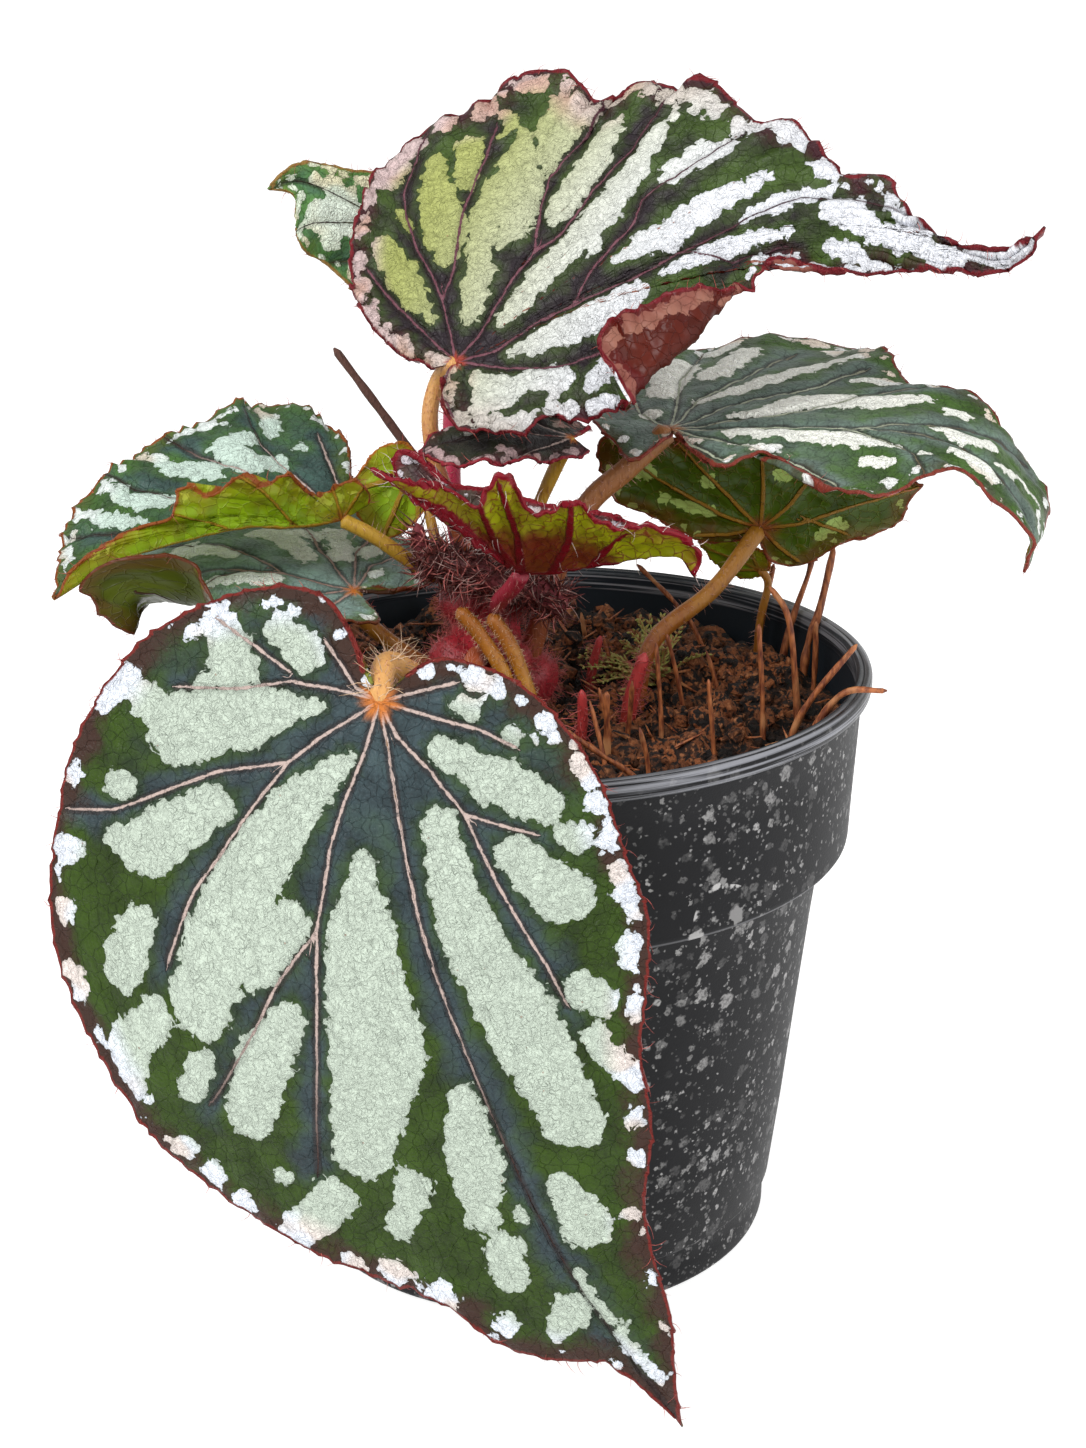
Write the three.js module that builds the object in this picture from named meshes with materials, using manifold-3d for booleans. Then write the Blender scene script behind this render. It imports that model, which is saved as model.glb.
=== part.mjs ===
// A rex begonia in a round nursery pot, with its soil, stems, leaves and the dry straw around it.
// Millimetres, +Z up. The origin is the centre of the pot's flat base, on the surface it stands on.
// The plant's front, where the largest leaf hangs over the rim, faces -Y.

import * as THREE from 'three';
import { mergeVertices } from 'three/addons/utils/BufferGeometryUtils.js';
import Module from 'manifold-3d';

const wasm = await Module();
wasm.setup();

// Driving dimensions
const rimRadius = 75;
const rimHeight = 131;
const lipHeight = 4.2;
const skirtHeight = 93.5;
const skirtRadius = 70.5;
const wallTopRadius = 65;
const stepHeight = 10;
const stepRadius = 54.3;
const baseRadius = 52.8;
const wallThickness = 1.5;
const floorThickness = 2.5;
const drainHoles = 6;
const drainRadius = 5;
const drainCircle = 36;
const soilLevel = 117;
const bladeThickness = 0.8;
const gap = 0.3;
const potSides = 40;

// Colours and finishes, one for each kind of surface
const finishes = {
  pot: { color: 0x2b2b2e, roughness: 0.55, metalness: 0 },
  soil: { color: 0x3b2217, roughness: 1, metalness: 0 },
  leaf: { color: 0x4c6b45, roughness: 0.45, metalness: 0 },
  youngLeaf: { color: 0x6a3a33, roughness: 0.4, metalness: 0 },
  petiole: { color: 0xa8741c, roughness: 0.5, metalness: 0 },
  redStem: { color: 0xa6304a, roughness: 0.6, metalness: 0 },
  straw: { color: 0x9a5a2e, roughness: 0.8, metalness: 0 },
  tuft: { color: 0x7a6a35, roughness: 0.9, metalness: 0 },
};

const plant = new THREE.Group();
const radians = Math.PI / 180;

// Seeded draw, so that every build is the same
function seededDraw(seed) {
  let state = seed;
  return () => {
    state = (state * 1664525 + 1013904223) % 4294967296;
    return state / 4294967296;
  };
}

// A closed mesh becomes a solid for cutting and joining, and goes back to a geometry
function solidOf(geometry) {
  const bare = geometry.clone();
  bare.deleteAttribute('normal');
  bare.deleteAttribute('uv');
  const merged = mergeVertices(bare, 1e-4);
  const vertProperties = Float32Array.from(merged.attributes.position.array);
  const triVerts = Uint32Array.from(merged.index.array);
  return new wasm.Manifold(new wasm.Mesh({ numProp: 3, vertProperties, triVerts }));
}

function geometryOf(solid) {
  const mesh = solid.getMesh();
  const geometry = new THREE.BufferGeometry();
  geometry.setAttribute('position', new THREE.BufferAttribute(mesh.vertProperties, 3));
  geometry.setIndex(new THREE.BufferAttribute(mesh.triVerts, 1));
  geometry.computeVertexNormals();
  return geometry;
}

function largestPiece(solid) {
  const pieces = solid.decompose();
  return pieces.reduce((best, piece) => (piece.volume() > best.volume() ? piece : best));
}

function addNode(name, geometry, finish) {
  const mesh = new THREE.Mesh(geometry, new THREE.MeshStandardMaterial(finishes[finish]));
  mesh.name = name;
  plant.add(mesh);
}

function smoothLine(points) {
  const corners = points.map((p) => new THREE.Vector3(...p));
  return new THREE.CatmullRomCurve3(corners, false, 'catmullrom', 0.5);
}

// A round stem along a smooth line through hand-chosen points
function stemGeometry(points, radius, steps = 9, sides = 7) {
  const path = smoothLine(points);
  const section = new THREE.Shape();
  for (let i = 0; i < sides; i += 1) {
    const angle = (2 * Math.PI * i) / sides;
    const x = radius * Math.cos(angle);
    const y = radius * Math.sin(angle);
    if (i === 0) section.moveTo(x, y);
    else section.lineTo(x, y);
  }
  return new THREE.ExtrudeGeometry(section, { steps, bevelEnabled: false, extrudePath: path });
}

// A lathe profile given as [radius, height] is turned round +Z
function latheGeometry(profile, sides) {
  const geometry = new THREE.LatheGeometry(profile.map((p) => new THREE.Vector2(...p)), sides);
  geometry.rotateX(Math.PI / 2);
  return geometry;
}

// Blade surface: x runs along the midrib from the joint, y to its left, h off the upper face.
// The midrib is a smooth line in space, side is the way to the leaf's left, and each half
// leaves the midrib at its lift angle and goes on turning by its cup angle every 60 mm.
function ribAxes(leaf, rib, share) {
  const along = rib.getTangentAt(share);
  const side = new THREE.Vector3(...leaf.side).lerp(new THREE.Vector3(...(leaf.sideTip ?? leaf.side)), share);
  side.addScaledVector(along, -side.dot(along)).normalize();
  return { along, side, up: along.clone().cross(side) };
}

function bladeFrame(leaf) {
  const rib = smoothLine(leaf.rib);
  const length = rib.getLength();
  return (x, y, h) => {
    const share = THREE.MathUtils.clamp(x / length, 0, 1);
    const { along, side, up } = ribAxes(leaf, rib, share);
    const point = rib.getPointAt(share).addScaledVector(along, x - share * length);
    const half = y >= 0 ? 0 : 1;
    const lift = leaf.lift[half] * radians;
    const turn = (leaf.cup[half] * radians) / 60 || 1e-6;
    const angle = lift + turn * Math.abs(y);
    const out = (Math.sin(angle) - Math.sin(lift)) / turn - h * Math.sin(angle);
    const rise = (Math.cos(lift) - Math.cos(angle)) / turn + h * Math.cos(angle);
    return point.addScaledVector(side, Math.sign(y || 1) * out).addScaledVector(up, rise);
  };
}

// The margin runs from the sinus round the right half to the tip and back round the left half
function bladeMargin(leaf, spokes) {
  const points = leaf.outline.map((p) => new THREE.Vector2(...p));
  const ends = [points.slice(0, leaf.tip + 1), points.slice(leaf.tip)];
  const halves = ends.map((half) => new THREE.SplineCurve(half));
  const lengths = halves.map((half) => half.getLength());
  const first = Math.round((spokes * lengths[0]) / (lengths[0] + lengths[1]));
  const margin = halves[0].getSpacedPoints(first);
  return margin.concat(halves[1].getSpacedPoints(spokes - first).slice(1));
}

// A fold turns up whatever lies beyond a straight line in the flat blade, bending over a few
// millimetres and then going on straight. It eases out at both ends of the line.
function foldOver(point, h, { line, turn, bend, ease }) {
  const [from, to] = line.map((p) => new THREE.Vector2(...p));
  const length = from.distanceTo(to);
  const along = to.clone().sub(from).divideScalar(length);
  const out = new THREE.Vector2(along.y, -along.x);
  if (out.dot(from) < 0) out.negate();
  const past = point.clone().sub(from).dot(out);
  const place = point.clone().sub(from).dot(along);
  const easeIn = THREE.MathUtils.smoothstep(place, -ease, ease);
  const angle = turn * radians * easeIn * (1 - THREE.MathUtils.smoothstep(place, length - ease, length + ease));
  if (past <= 0 || angle < 0.01) return [point, h];
  const curved = Math.min(past, bend);
  const straight = past - curved;
  const arc = (angle * curved) / bend;
  const reach = (bend / angle) * Math.sin(arc) + straight * Math.cos(arc);
  const rise = (bend / angle) * (1 - Math.cos(arc)) + straight * Math.sin(arc);
  return [point.clone().addScaledVector(out, reach - past), h + rise];
}

function bladeGeometry(leaf) {
  const place = bladeFrame(leaf);
  const { spokes: bladeSpokes, rings: bladeRings } = leaf;
  const margin = bladeMargin(leaf, bladeSpokes);
  const [ruffle, waves, phase] = leaf.ruffle;
  const middle = [place(0, 0, 0)];
  const at = (ring, spoke) => (ring === 0 ? 0 : 1 + (ring - 1) * (bladeSpokes + 1) + spoke);
  for (let ring = 1; ring <= bladeRings; ring += 1) {
    for (let spoke = 0; spoke <= bladeSpokes; spoke += 1) {
      const t = ring / bladeRings;
      const a = spoke / bladeSpokes;
      const reach = margin[spoke].length();
      const tooth = ring === bladeRings ? leaf.teeth * (spoke % 2 === 0 ? 1 : -1) : 0;
      const calm = 1 - THREE.MathUtils.smoothstep(margin[spoke].x / leaf.outline[leaf.tip][0], 0.7, 0.9);
      let point = margin[spoke].clone().multiplyScalar(t + tooth / reach);
      let h = ruffle * calm * t ** 3 * Math.sin(2 * Math.PI * waves * a + phase);
      if (leaf.fold) [point, h] = foldOver(point, h, leaf.fold);
      middle.push(place(point.x, point.y, h));
    }
  }
  const faces = [];
  for (let spoke = 0; spoke < bladeSpokes; spoke += 1) {
    faces.push([0, at(1, spoke), at(1, spoke + 1)]);
    for (let ring = 1; ring < bladeRings; ring += 1) {
      faces.push([at(ring, spoke), at(ring + 1, spoke), at(ring + 1, spoke + 1)]);
      faces.push([at(ring, spoke), at(ring + 1, spoke + 1), at(ring, spoke + 1)]);
    }
  }
  const sheet = new THREE.BufferGeometry().setFromPoints(middle);
  sheet.setIndex(faces.flat());
  sheet.computeVertexNormals();
  const normal = new THREE.Vector3();
  const shifted = (sign) => middle.map((p, i) => {
    normal.fromBufferAttribute(sheet.attributes.normal, i);
    return p.clone().addScaledVector(normal, (sign * bladeThickness) / 2);
  });
  const count = middle.length;
  const border = [];
  for (let ring = 0; ring < bladeRings; ring += 1) border.push(at(ring, 0));
  for (let spoke = 0; spoke <= bladeSpokes; spoke += 1) border.push(at(bladeRings, spoke));
  for (let ring = bladeRings - 1; ring > 0; ring -= 1) border.push(at(ring, bladeSpokes));
  const index = faces.flat();
  for (const [i, j, k] of faces) index.push(i + count, k + count, j + count);
  border.forEach((i, n) => {
    const j = border[(n + 1) % border.length];
    index.push(j, i, i + count, j, i + count, j + count);
  });
  const blade = new THREE.BufferGeometry().setFromPoints([...shifted(1), ...shifted(-1)]);
  blade.setIndex(index);
  blade.computeVertexNormals();
  return blade;
}

// Pot: one moulded cup with a rolled lip, a skirt under it, a tapered wall and a stepped foot
const lipFoot = rimHeight - lipHeight;
const lipFootRadius = rimRadius - 2;
const inner = (radius) => radius - wallThickness;
const potProfile = [
  [0, 0],
  [baseRadius - 1, 0],
  [baseRadius, 1.2],
  [baseRadius + 0.2, stepHeight - 0.8],
  [stepRadius - 0.3, stepHeight],
  [stepRadius, stepHeight + 0.8],
  [wallTopRadius, skirtHeight - 2.4],
  [wallTopRadius + 1, skirtHeight - 1.4],
  [skirtRadius - 0.9, skirtHeight - 0.9],
  [skirtRadius, skirtHeight + 0.4],
  [lipFootRadius, lipFoot - 0.5],
  [rimRadius - 0.4, lipFoot],
  [rimRadius, lipFoot + 1],
  [rimRadius, rimHeight - 1.2],
  [rimRadius - 0.7, rimHeight - 0.2],
  [rimRadius - 1.8, rimHeight],
  [rimRadius - 3.2, rimHeight - 0.6],
  [inner(lipFootRadius), lipFoot - 0.5],
  [inner(skirtRadius), skirtHeight + 1.4],
  [inner(skirtRadius) - 0.8, skirtHeight + 0.7],
  [inner(wallTopRadius) + 0.6, skirtHeight],
  [inner(wallTopRadius), skirtHeight - 1],
  [inner(stepRadius), stepHeight + 1.4],
  [inner(baseRadius), stepHeight - 0.4],
  [inner(baseRadius), floorThickness],
  [0, floorThickness],
];
let pot = solidOf(latheGeometry(potProfile, potSides));
for (let i = 0; i < drainHoles; i += 1) {
  const hole = new THREE.CylinderGeometry(drainRadius, drainRadius, 4 * floorThickness, 16);
  const angle = (2 * Math.PI * (i + 0.5)) / drainHoles;
  hole.rotateX(Math.PI / 2);
  hole.translate(drainCircle * Math.cos(angle), drainCircle * Math.sin(angle), 0);
  pot = pot.subtract(solidOf(hole));
}
addNode('pot', geometryOf(pot), 'pot');

// Leaves, each with the stalk that carries it. The outline is [along, left] in the flat blade.
const leaves = {
  front: {
    rib: [[-26, -84, 152], [-20, -93, 113], [-11, -97, 84], [3, -99, 48], [15, -100, 27], [28, -101, 6]],
    side: [1, -0.1, 0],
    lift: [-4, -4],
    cup: [-6, -8],
    ruffle: [0.8, 13, 0],
    teeth: 0.5,
    spokes: 64,
    rings: 4,
    tip: 19,
    outline: [
      [-6, -2], [-14, -3], [-21, -7], [-24, -17], [-22, -32], [-16, -46], [-4, -58], [10, -66], [28, -72],
      [48, -73], [66, -69], [82, -63], [95, -51], [107, -38], [116, -26], [127, -21], [135, -13], [139, -5],
      [148, -2], [159, 0], [147, 6], [138, 11], [126, 15], [110, 20], [96, 27], [79, 31], [66, 37], [54, 41],
      [38, 40], [22, 38], [10, 33], [2, 27], [-3, 20], [-6, 12], [-4, 6],
    ],
    finish: 'leaf',
    stalk: [[-10, -4, 134], [-13, -30, 137], [-20, -56, 147], [-25, -75, 156], [-26, -84, 152]],
    stalkRadius: 2.4,
  },
  top: {
    rib: [
      [-13, 0, 197], [12, 4, 209], [42, 4, 220], [69, 1, 222], [90, -4, 218], [100, -7, 217], [107, -9, 224],
    ],
    side: [0, 0.67, 0.74],
    sideTip: [0, 0.55, 0.83],
    lift: [0, 0],
    cup: [0, 0],
    ruffle: [0.9, 15, 1],
    teeth: 0.6,
    fold: { line: [[27, -28], [68, -9]], turn: 160, bend: 6, ease: 5 },
    spokes: 72,
    rings: 6,
    tip: 23,
    outline: [
      [-4, -2], [-7, -8], [-6, -16], [-1, -19], [5, -24], [11, -22], [14, -25], [22, -28], [29, -29], [34, -34],
      [40, -41], [47, -39], [52, -33], [57, -28], [62, -20], [67, -11], [71, -6], [76, -7], [80, -9], [88, -10],
      [102, -6], [112, -4], [122, -2], [130, 0], [121, 2], [112, 2], [104, 4], [97, 7], [93, 13], [90, 14], [86, 12],
      [80, 20], [75, 26], [70, 23], [67, 32], [63, 39], [58, 35], [54, 44], [47, 42], [44, 51], [39, 56], [32, 57],
      [26, 54], [19, 56], [12, 55], [5, 52], [-2, 46], [-9, 36], [-12, 27], [-12, 18], [-9, 8], [-5, 1],
    ],
    finish: 'leaf',
    stalk: [[-11, -1, 154], [-17, 0, 172], [-19, 3, 184], [-17, 5, 192], [-13, 0, 197]],
    stalkRadius: 1.8,
  },
  right: {
    rib: [
      [32, 8, 180], [57, 4, 181], [81, -3, 181], [95, -9, 177], [103, -13, 168], [106, -16, 161], [104, -18, 154],
    ],
    side: [0, 0.99, 0.12],
    sideTip: [0.25, 0.95, 0.15],
    lift: [0, -4],
    cup: [-4, -16],
    ruffle: [1.5, 12, 2],
    teeth: 0.6,
    spokes: 64,
    rings: 4,
    tip: 14,
    outline: [
      [2, -4], [8, -13], [13, -18], [21, -15], [27, -17], [33, -22], [38, -27], [46, -30], [53, -27], [59, -19],
      [66, -14], [74, -12], [80, -8], [87, -5], [95, 0], [90, 8], [85, 16], [78, 26], [71, 25], [66, 23], [60, 27],
      [54, 30], [47, 33], [42, 41], [37, 52], [30, 60], [22, 63], [14, 64], [4, 64], [-8, 58], [-16, 44], [-20, 26],
      [-19, 10], [-16, 0], [-11, -6], [-7, -13], [-2, -10], [1, -5],
    ],
    finish: 'leaf',
    stalk: [[0, 3, 128], [7, 4, 150], [14, 6, 164], [23, 7, 172], [32, 8, 180]],
    stalkRadius: 2.4,
  },
  right_low: {
    rib: [[53, 22, 154], [64, 21, 157], [75, 20, 160], [88, 19, 164]],
    side: [0.28, 0.29, -0.91],
    lift: [0, 0],
    cup: [0, 0],
    ruffle: [0.7, 9, 0],
    teeth: 0.4,
    spokes: 44,
    rings: 3,
    tip: 13,
    outline: [
      [-4, 2], [-11, 1], [-18, -5], [-24, -11], [-29, -17], [-30, -26], [-28, -33], [-22, -33], [-12, -28],
      [-3, -24], [8, -20], [19, -15], [29, -8], [37, 0], [33, 4], [30, 8], [23, 10], [17, 9], [11, 12], [5, 13],
      [0, 9], [-1, 4],
    ],
    finish: 'leaf',
    stalk: [[24, 5, 106], [25, 6, 122], [29, 9, 133], [42, 15, 142], [53, 22, 154]],
    stalkRadius: 1.9,
  },
  left: {
    rib: [[-38, -5, 165], [-48, -9, 165], [-59, -13, 166], [-77, -18, 163], [-86, -20, 160], [-95, -23, 155]],
    side: [0, -1, 0],
    lift: [80, 25],
    cup: [20, -8],
    ruffle: [1, 12, 0],
    teeth: 0.5,
    spokes: 52,
    rings: 4,
    tip: 13,
    outline: [
      [-3, -4], [-6, -12], [-9, -24], [-8, -34], [-4, -42], [4, -46], [14, -43], [22, -40], [30, -37], [38, -35],
      [46, -30], [53, -22], [58, -12], [63, 0], [58, 3], [50, 4], [41, 5], [36, 6], [33, 10], [30, 11], [28, 8],
      [25, 9], [21, 12], [18, 9], [14, 12], [11, 11], [8, 8], [4, 6], [1, 8], [-3, 9], [-6, 6], [-6, 3],
    ],
    finish: 'leaf',
    stalk: [[-8, 1, 146], [-15, -1, 150], [-21, -3, 153], [-31, -5, 161], [-38, -5, 165]],
    stalkRadius: 1.6,
  },
  left_low: {
    rib: [[-36, -4, 149], [-51, 0, 152], [-65, 1, 153], [-75, -2, 151], [-81, -7, 148], [-83, -11, 143]],
    side: [0, -0.97, -0.2],
    lift: [0, 0],
    cup: [0, 0],
    ruffle: [1, 10, 0],
    teeth: 0.4,
    fold: { line: [[60, 7], [36, 23]], turn: 85, bend: 4, ease: 3 },
    spokes: 46,
    rings: 6,
    tip: 12,
    outline: [
      [-3, -4], [-11, -6], [-13, -14], [-9, -24], [0, -31], [12, -36], [26, -37], [36, -34], [40, -29], [43, -25],
      [47, -18], [52, -8], [56, 3], [61, 13], [61, 22], [52, 29], [43, 31], [35, 26], [26, 20], [14, 24], [2, 20],
      [-9, 10], [-4, 3],
    ],
    finish: 'leaf',
    stalk: [[-10, 0, 126], [-22, 0, 131], [-32, -1, 139], [-36, -3, 145], [-36, -4, 149]],
    stalkRadius: 1.8,
  },
  back: {
    rib: [[-14, 48, 202], [-26, 50, 216], [-39, 48, 225], [-48, 46, 229], [-54, 42, 228]],
    side: [-0.5, -0.35, -0.75],
    lift: [0, 0],
    cup: [0, 0],
    ruffle: [1, 10, 0],
    teeth: 0.5,
    spokes: 44,
    rings: 3,
    tip: 11,
    outline: [
      [-4, -3], [-10, -14], [-6, -30], [4, -41], [14, -48], [19, -46], [19, -35], [20, -23], [26, -12], [34, -7],
      [45, -4], [53, 0], [46, 4], [47, 8], [40, 14], [32, 15], [22, 17], [10, 16], [0, 10], [-4, 3],
    ],
    finish: 'leaf',
    stalk: [[-11, 5, 146], [-15, 9, 165], [-15, 27, 179], [-14, 44, 188], [-14, 50, 196], [-14, 48, 202]],
    stalkRadius: 2.2,
    stalkFinish: 'redStem',
  },
  young: {
    rib: [[0, -24, 158], [16, -27, 161], [26, -29, 163], [32, -30, 163], [35, -31, 159]],
    side: [0, 0.9, 0.3],
    lift: [50, 62],
    cup: [0, 0],
    ruffle: [1.4, 12, 0],
    teeth: 0.5,
    spokes: 56,
    rings: 3,
    tip: 16,
    outline: [
      [-2, -3], [-4, -16], [-7, -32], [-13, -46], [-15, -51], [-10, -48], [-5, -38], [0, -34], [4, -39], [8, -40],
      [9, -30], [13, -25], [18, -26], [22, -18], [27, -13], [33, -7], [39, 0], [34, 3], [31, 5], [26, 6], [19, 10],
      [13, 11], [6, 14], [-3, 18], [-13, 21], [-18, 27], [-23, 29], [-24, 23], [-14, 12], [-4, 3],
    ],
    finish: 'youngLeaf',
    stalk: [[-6, -6, 144], [-5, -14, 149], [-2, -20, 154], [0, -24, 158]],
    stalkRadius: 1.8,
    stalkFinish: 'redStem',
  },
  left_back: {
    rib: [[-23, 18, 172], [-25, 16, 168], [-27, 14, 163], [-29, 12, 158]],
    side: [-0.8, -0.16, 0.36],
    lift: [0, 0],
    cup: [0, 0],
    ruffle: [0.6, 6, 0],
    teeth: 0.3,
    spokes: 26,
    rings: 3,
    tip: 4,
    outline: [
      [-2, -2], [0, -5], [8, -6], [15, -4], [20, 1], [17, 7], [10, 11], [2, 9], [-2, 5], [-2, 2],
    ],
    finish: 'leaf',
    stalk: [[-15, 1, 146], [-19, 6, 158], [-21, 11, 167], [-22.5, 15, 172], [-23, 18, 172]],
    stalkRadius: 1.2,
  },
  middle: {
    rib: [[11, 2, 180], [0, -3, 183], [-10, -6, 183], [-22, -8, 180]],
    side: [0, -0.98, -0.2],
    lift: [-20, 0],
    cup: [-20, 0],
    ruffle: [1, 9, 0],
    teeth: 0.4,
    spokes: 40,
    rings: 3,
    tip: 7,
    outline: [
      [-3, -3], [-7, -6], [-4, -10], [4, -11], [14, -11], [22, -9], [30, -5], [35, 0], [32, 5], [26, 9],
      [18, 9], [9, 8], [1, 6], [-4, 3],
    ],
    finish: 'youngLeaf',
    stalk: [[-2, 6, 146], [2, 6, 160], [7, 5, 172], [11, 2, 180]],
    stalkRadius: 1.5,
  },
  right_small: {
    rib: [[54, 34, 141], [49, 34, 144], [44, 34, 146], [40, 34, 148]],
    side: [-0.1, -0.6, 0.7],
    lift: [0, 0],
    cup: [0, 0],
    ruffle: [0.4, 5, 0],
    teeth: 0.2,
    spokes: 20,
    rings: 2,
    tip: 3,
    outline: [[-2, -2], [1, -7], [8, -7], [16, 0], [9, 7], [1, 7], [-2, 2]],
    finish: 'leaf',
    stalk: [[53, 34, 100], [54, 34, 126], [56, 34, 137], [54, 34, 141]],
    stalkRadius: 0.9,
  },
};

// Rhizome: the short thick stem with its swollen knots and the bristly bract lying across its top
const rhizomeKnots = [
  [-12, 0, 146, 6], [-3, 0, 148, 6.5], [0, 4, 126, 7], [-15, -1, 132, 6], [-4, -4, 132, 5.5],
];
const bract = [[-20, -6, 157], [-10, -8, 154], [2, -9, 150], [9, -10, 146]];
const bractTuft = [[-19, -6, 152], [-21, -6, 158], [-22, -6, 164]];
function rhizomeSolid(grow) {
  const trunk = solidOf(stemGeometry([[-7, 4, 96], [-8, 3, 124], [-9, 2, 150]], 8 + grow, 6, 10));
  const knots = rhizomeKnots.map(([x, y, z, radius]) => {
    const knot = new THREE.IcosahedronGeometry(radius + grow, 1);
    knot.translate(x, y, z);
    return solidOf(knot);
  });
  const bracts = [stemGeometry(bract, 4.2 + grow, 8, 8), stemGeometry(bractTuft, 2.6 + grow, 4, 7)];
  return [...knots, ...bracts.map(solidOf)].reduce((solid, piece) => solid.add(piece), trunk);
}
const rhizomeClearance = rhizomeSolid(gap);
addNode('rhizome', geometryOf(rhizomeSolid(0)), 'redStem');

// A stalk ends just under its blade, cut square to the blade where it joins the midrib
function stalkSolid(leaf) {
  const rib = smoothLine(leaf.rib);
  const { along, side, up } = ribAxes(leaf, rib, 0);
  const blockSize = 6 * leaf.stalkRadius;
  const block = new THREE.BoxGeometry(blockSize, blockSize, blockSize);
  const droop = leaf.stalkRadius * Math.sin(radians * Math.max(0, ...leaf.lift.map((lift) => -lift)));
  block.translate(0, 0, blockSize / 2 - bladeThickness / 2 - gap - droop);
  block.applyMatrix4(new THREE.Matrix4().makeBasis(along, side, up).setPosition(rib.getPointAt(0)));
  const stalk = solidOf(stemGeometry(leaf.stalk, leaf.stalkRadius));
  return largestPiece(stalk.subtract(rhizomeClearance).subtract(solidOf(block)));
}

for (const [name, leaf] of Object.entries(leaves)) {
  addNode(`leaf_${name}`, bladeGeometry(leaf), leaf.finish);
  addNode(`stalk_${name}`, geometryOf(stalkSolid(leaf)), leaf.stalkFinish ?? 'petiole');
}

// Stems that stand in the soil, and the dead stalk that leans out of the rhizome
const dryStems = [
  { radius: 0.9, line: [[54, 40, 104], [55, 41, 124], [58, 41, 140]] },
  { radius: 0.9, line: [[60, -3, 104], [59, -2, 122], [57, -2, 140], [53, 0, 147]] },
  { radius: 0.8, line: [[64, 16, 104], [65, 16, 122], [65, 15, 134]] },
  { radius: 1, line: [[62, 22, 104], [64, 24, 124], [67, 25, 134], [70, 26, 148]] },
  { radius: 0.9, line: [[58, 30, 104], [60, 31, 124], [65, 32, 140], [66, 33, 145]] },
  { radius: 0.8, line: [[54, -20, 106], [56, -21, 120], [60, -22, 129], [69, -23, 141]] },
  { radius: 0.9, line: [[55, -27, 106], [58, -28, 120], [65, -30, 132.4], [74, -33, 134.2]] },
  { radius: 0.7, line: [[51, -10, 106], [51, -9, 122], [50, -8, 141]] },
  { radius: 0.6, line: [[40, -26, 106], [39, -26, 122], [38, -26, 135]] },
  { radius: 0.6, line: [[29, -10, 106], [29, -10, 122], [28, -10, 138]] },
  { radius: 0.6, line: [[36, 4, 106], [34, 3, 122], [31, 2, 136]] },
  { radius: 0.7, line: [[45, 36, 106], [41, 36, 122], [36, 36, 131], [26, 36, 142]] },
  { radius: 0.9, line: [[17, -22, 106], [17, -23, 120], [17, -24, 132]] },
  { radius: 0.7, line: [[27, -38, 110], [22, -40, 119], [15, -42, 125], [8, -44, 131]] },
];
const redShoots = [
  { radius: 2.2, line: [[21, 0, 108], [23, -1, 122], [26, -2, 133]] },
  { radius: 1.6, line: [[10, -10, 108], [12, -12, 120], [12, -14, 129]] },
  { radius: 1.5, line: [[13, 19, 108], [15, 20, 122], [17, 20, 130]] },
];
const stemSteps = 4;
const stemSides = 5;
dryStems.forEach(({ line, radius }, i) => {
  const number = String(i + 1).padStart(2, '0');
  addNode(`dry_stem_${number}`, stemGeometry(line, radius, stemSteps, stemSides), 'straw');
});
redShoots.forEach(({ line, radius }, i) => {
  addNode(`red_shoot_${i + 1}`, stemGeometry(line, radius, stemSteps, stemSides), 'redStem');
});
const stickLine = [[-5, 9, 149], [-17, 21, 162], [-29, 28, 178], [-41, 33, 194]];
const stickRadius = 1.1;
const stick = solidOf(stemGeometry(stickLine, stickRadius, stemSteps, stemSides)).subtract(rhizomeClearance);
addNode('dry_stick', geometryOf(largestPiece(stick)), 'straw');

// Fern tuft: thin tapering fronds that fan out of one small root in the soil
function frondSolid(root, heading, lean, length, radius) {
  const frond = new THREE.ConeGeometry(radius, length, 3);
  frond.rotateX(Math.PI / 2);
  frond.translate(0, 0, length / 2 - 2);
  frond.rotateY(lean);
  frond.rotateZ(heading);
  frond.translate(...root);
  return solidOf(frond);
}
const tuftRoot = [30, 22, soilLevel + 1];
const tuftRootRadius = 2.4;
const tuftRootLength = 9;
const tuftFronds = 16;
function tuftRootSolid(grow) {
  const root = new THREE.CylinderGeometry(tuftRootRadius + grow, 1.6 + grow, tuftRootLength + 2 * grow, 8);
  root.rotateX(Math.PI / 2);
  root.translate(tuftRoot[0], tuftRoot[1], tuftRoot[2] - 2);
  return solidOf(root);
}
function tuftSolid() {
  const draw = seededDraw(11);
  let fronds = tuftRootSolid(0);
  for (let i = 0; i < tuftFronds; i += 1) {
    const lean = (20 + 45 * draw()) * radians;
    fronds = fronds.add(frondSolid(tuftRoot, 2 * Math.PI * draw(), lean, 12 + 6 * draw(), 1));
  }
  return fronds;
}
const tuft = tuftSolid();
addNode('fern_tuft', geometryOf(tuft), 'tuft');

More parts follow.
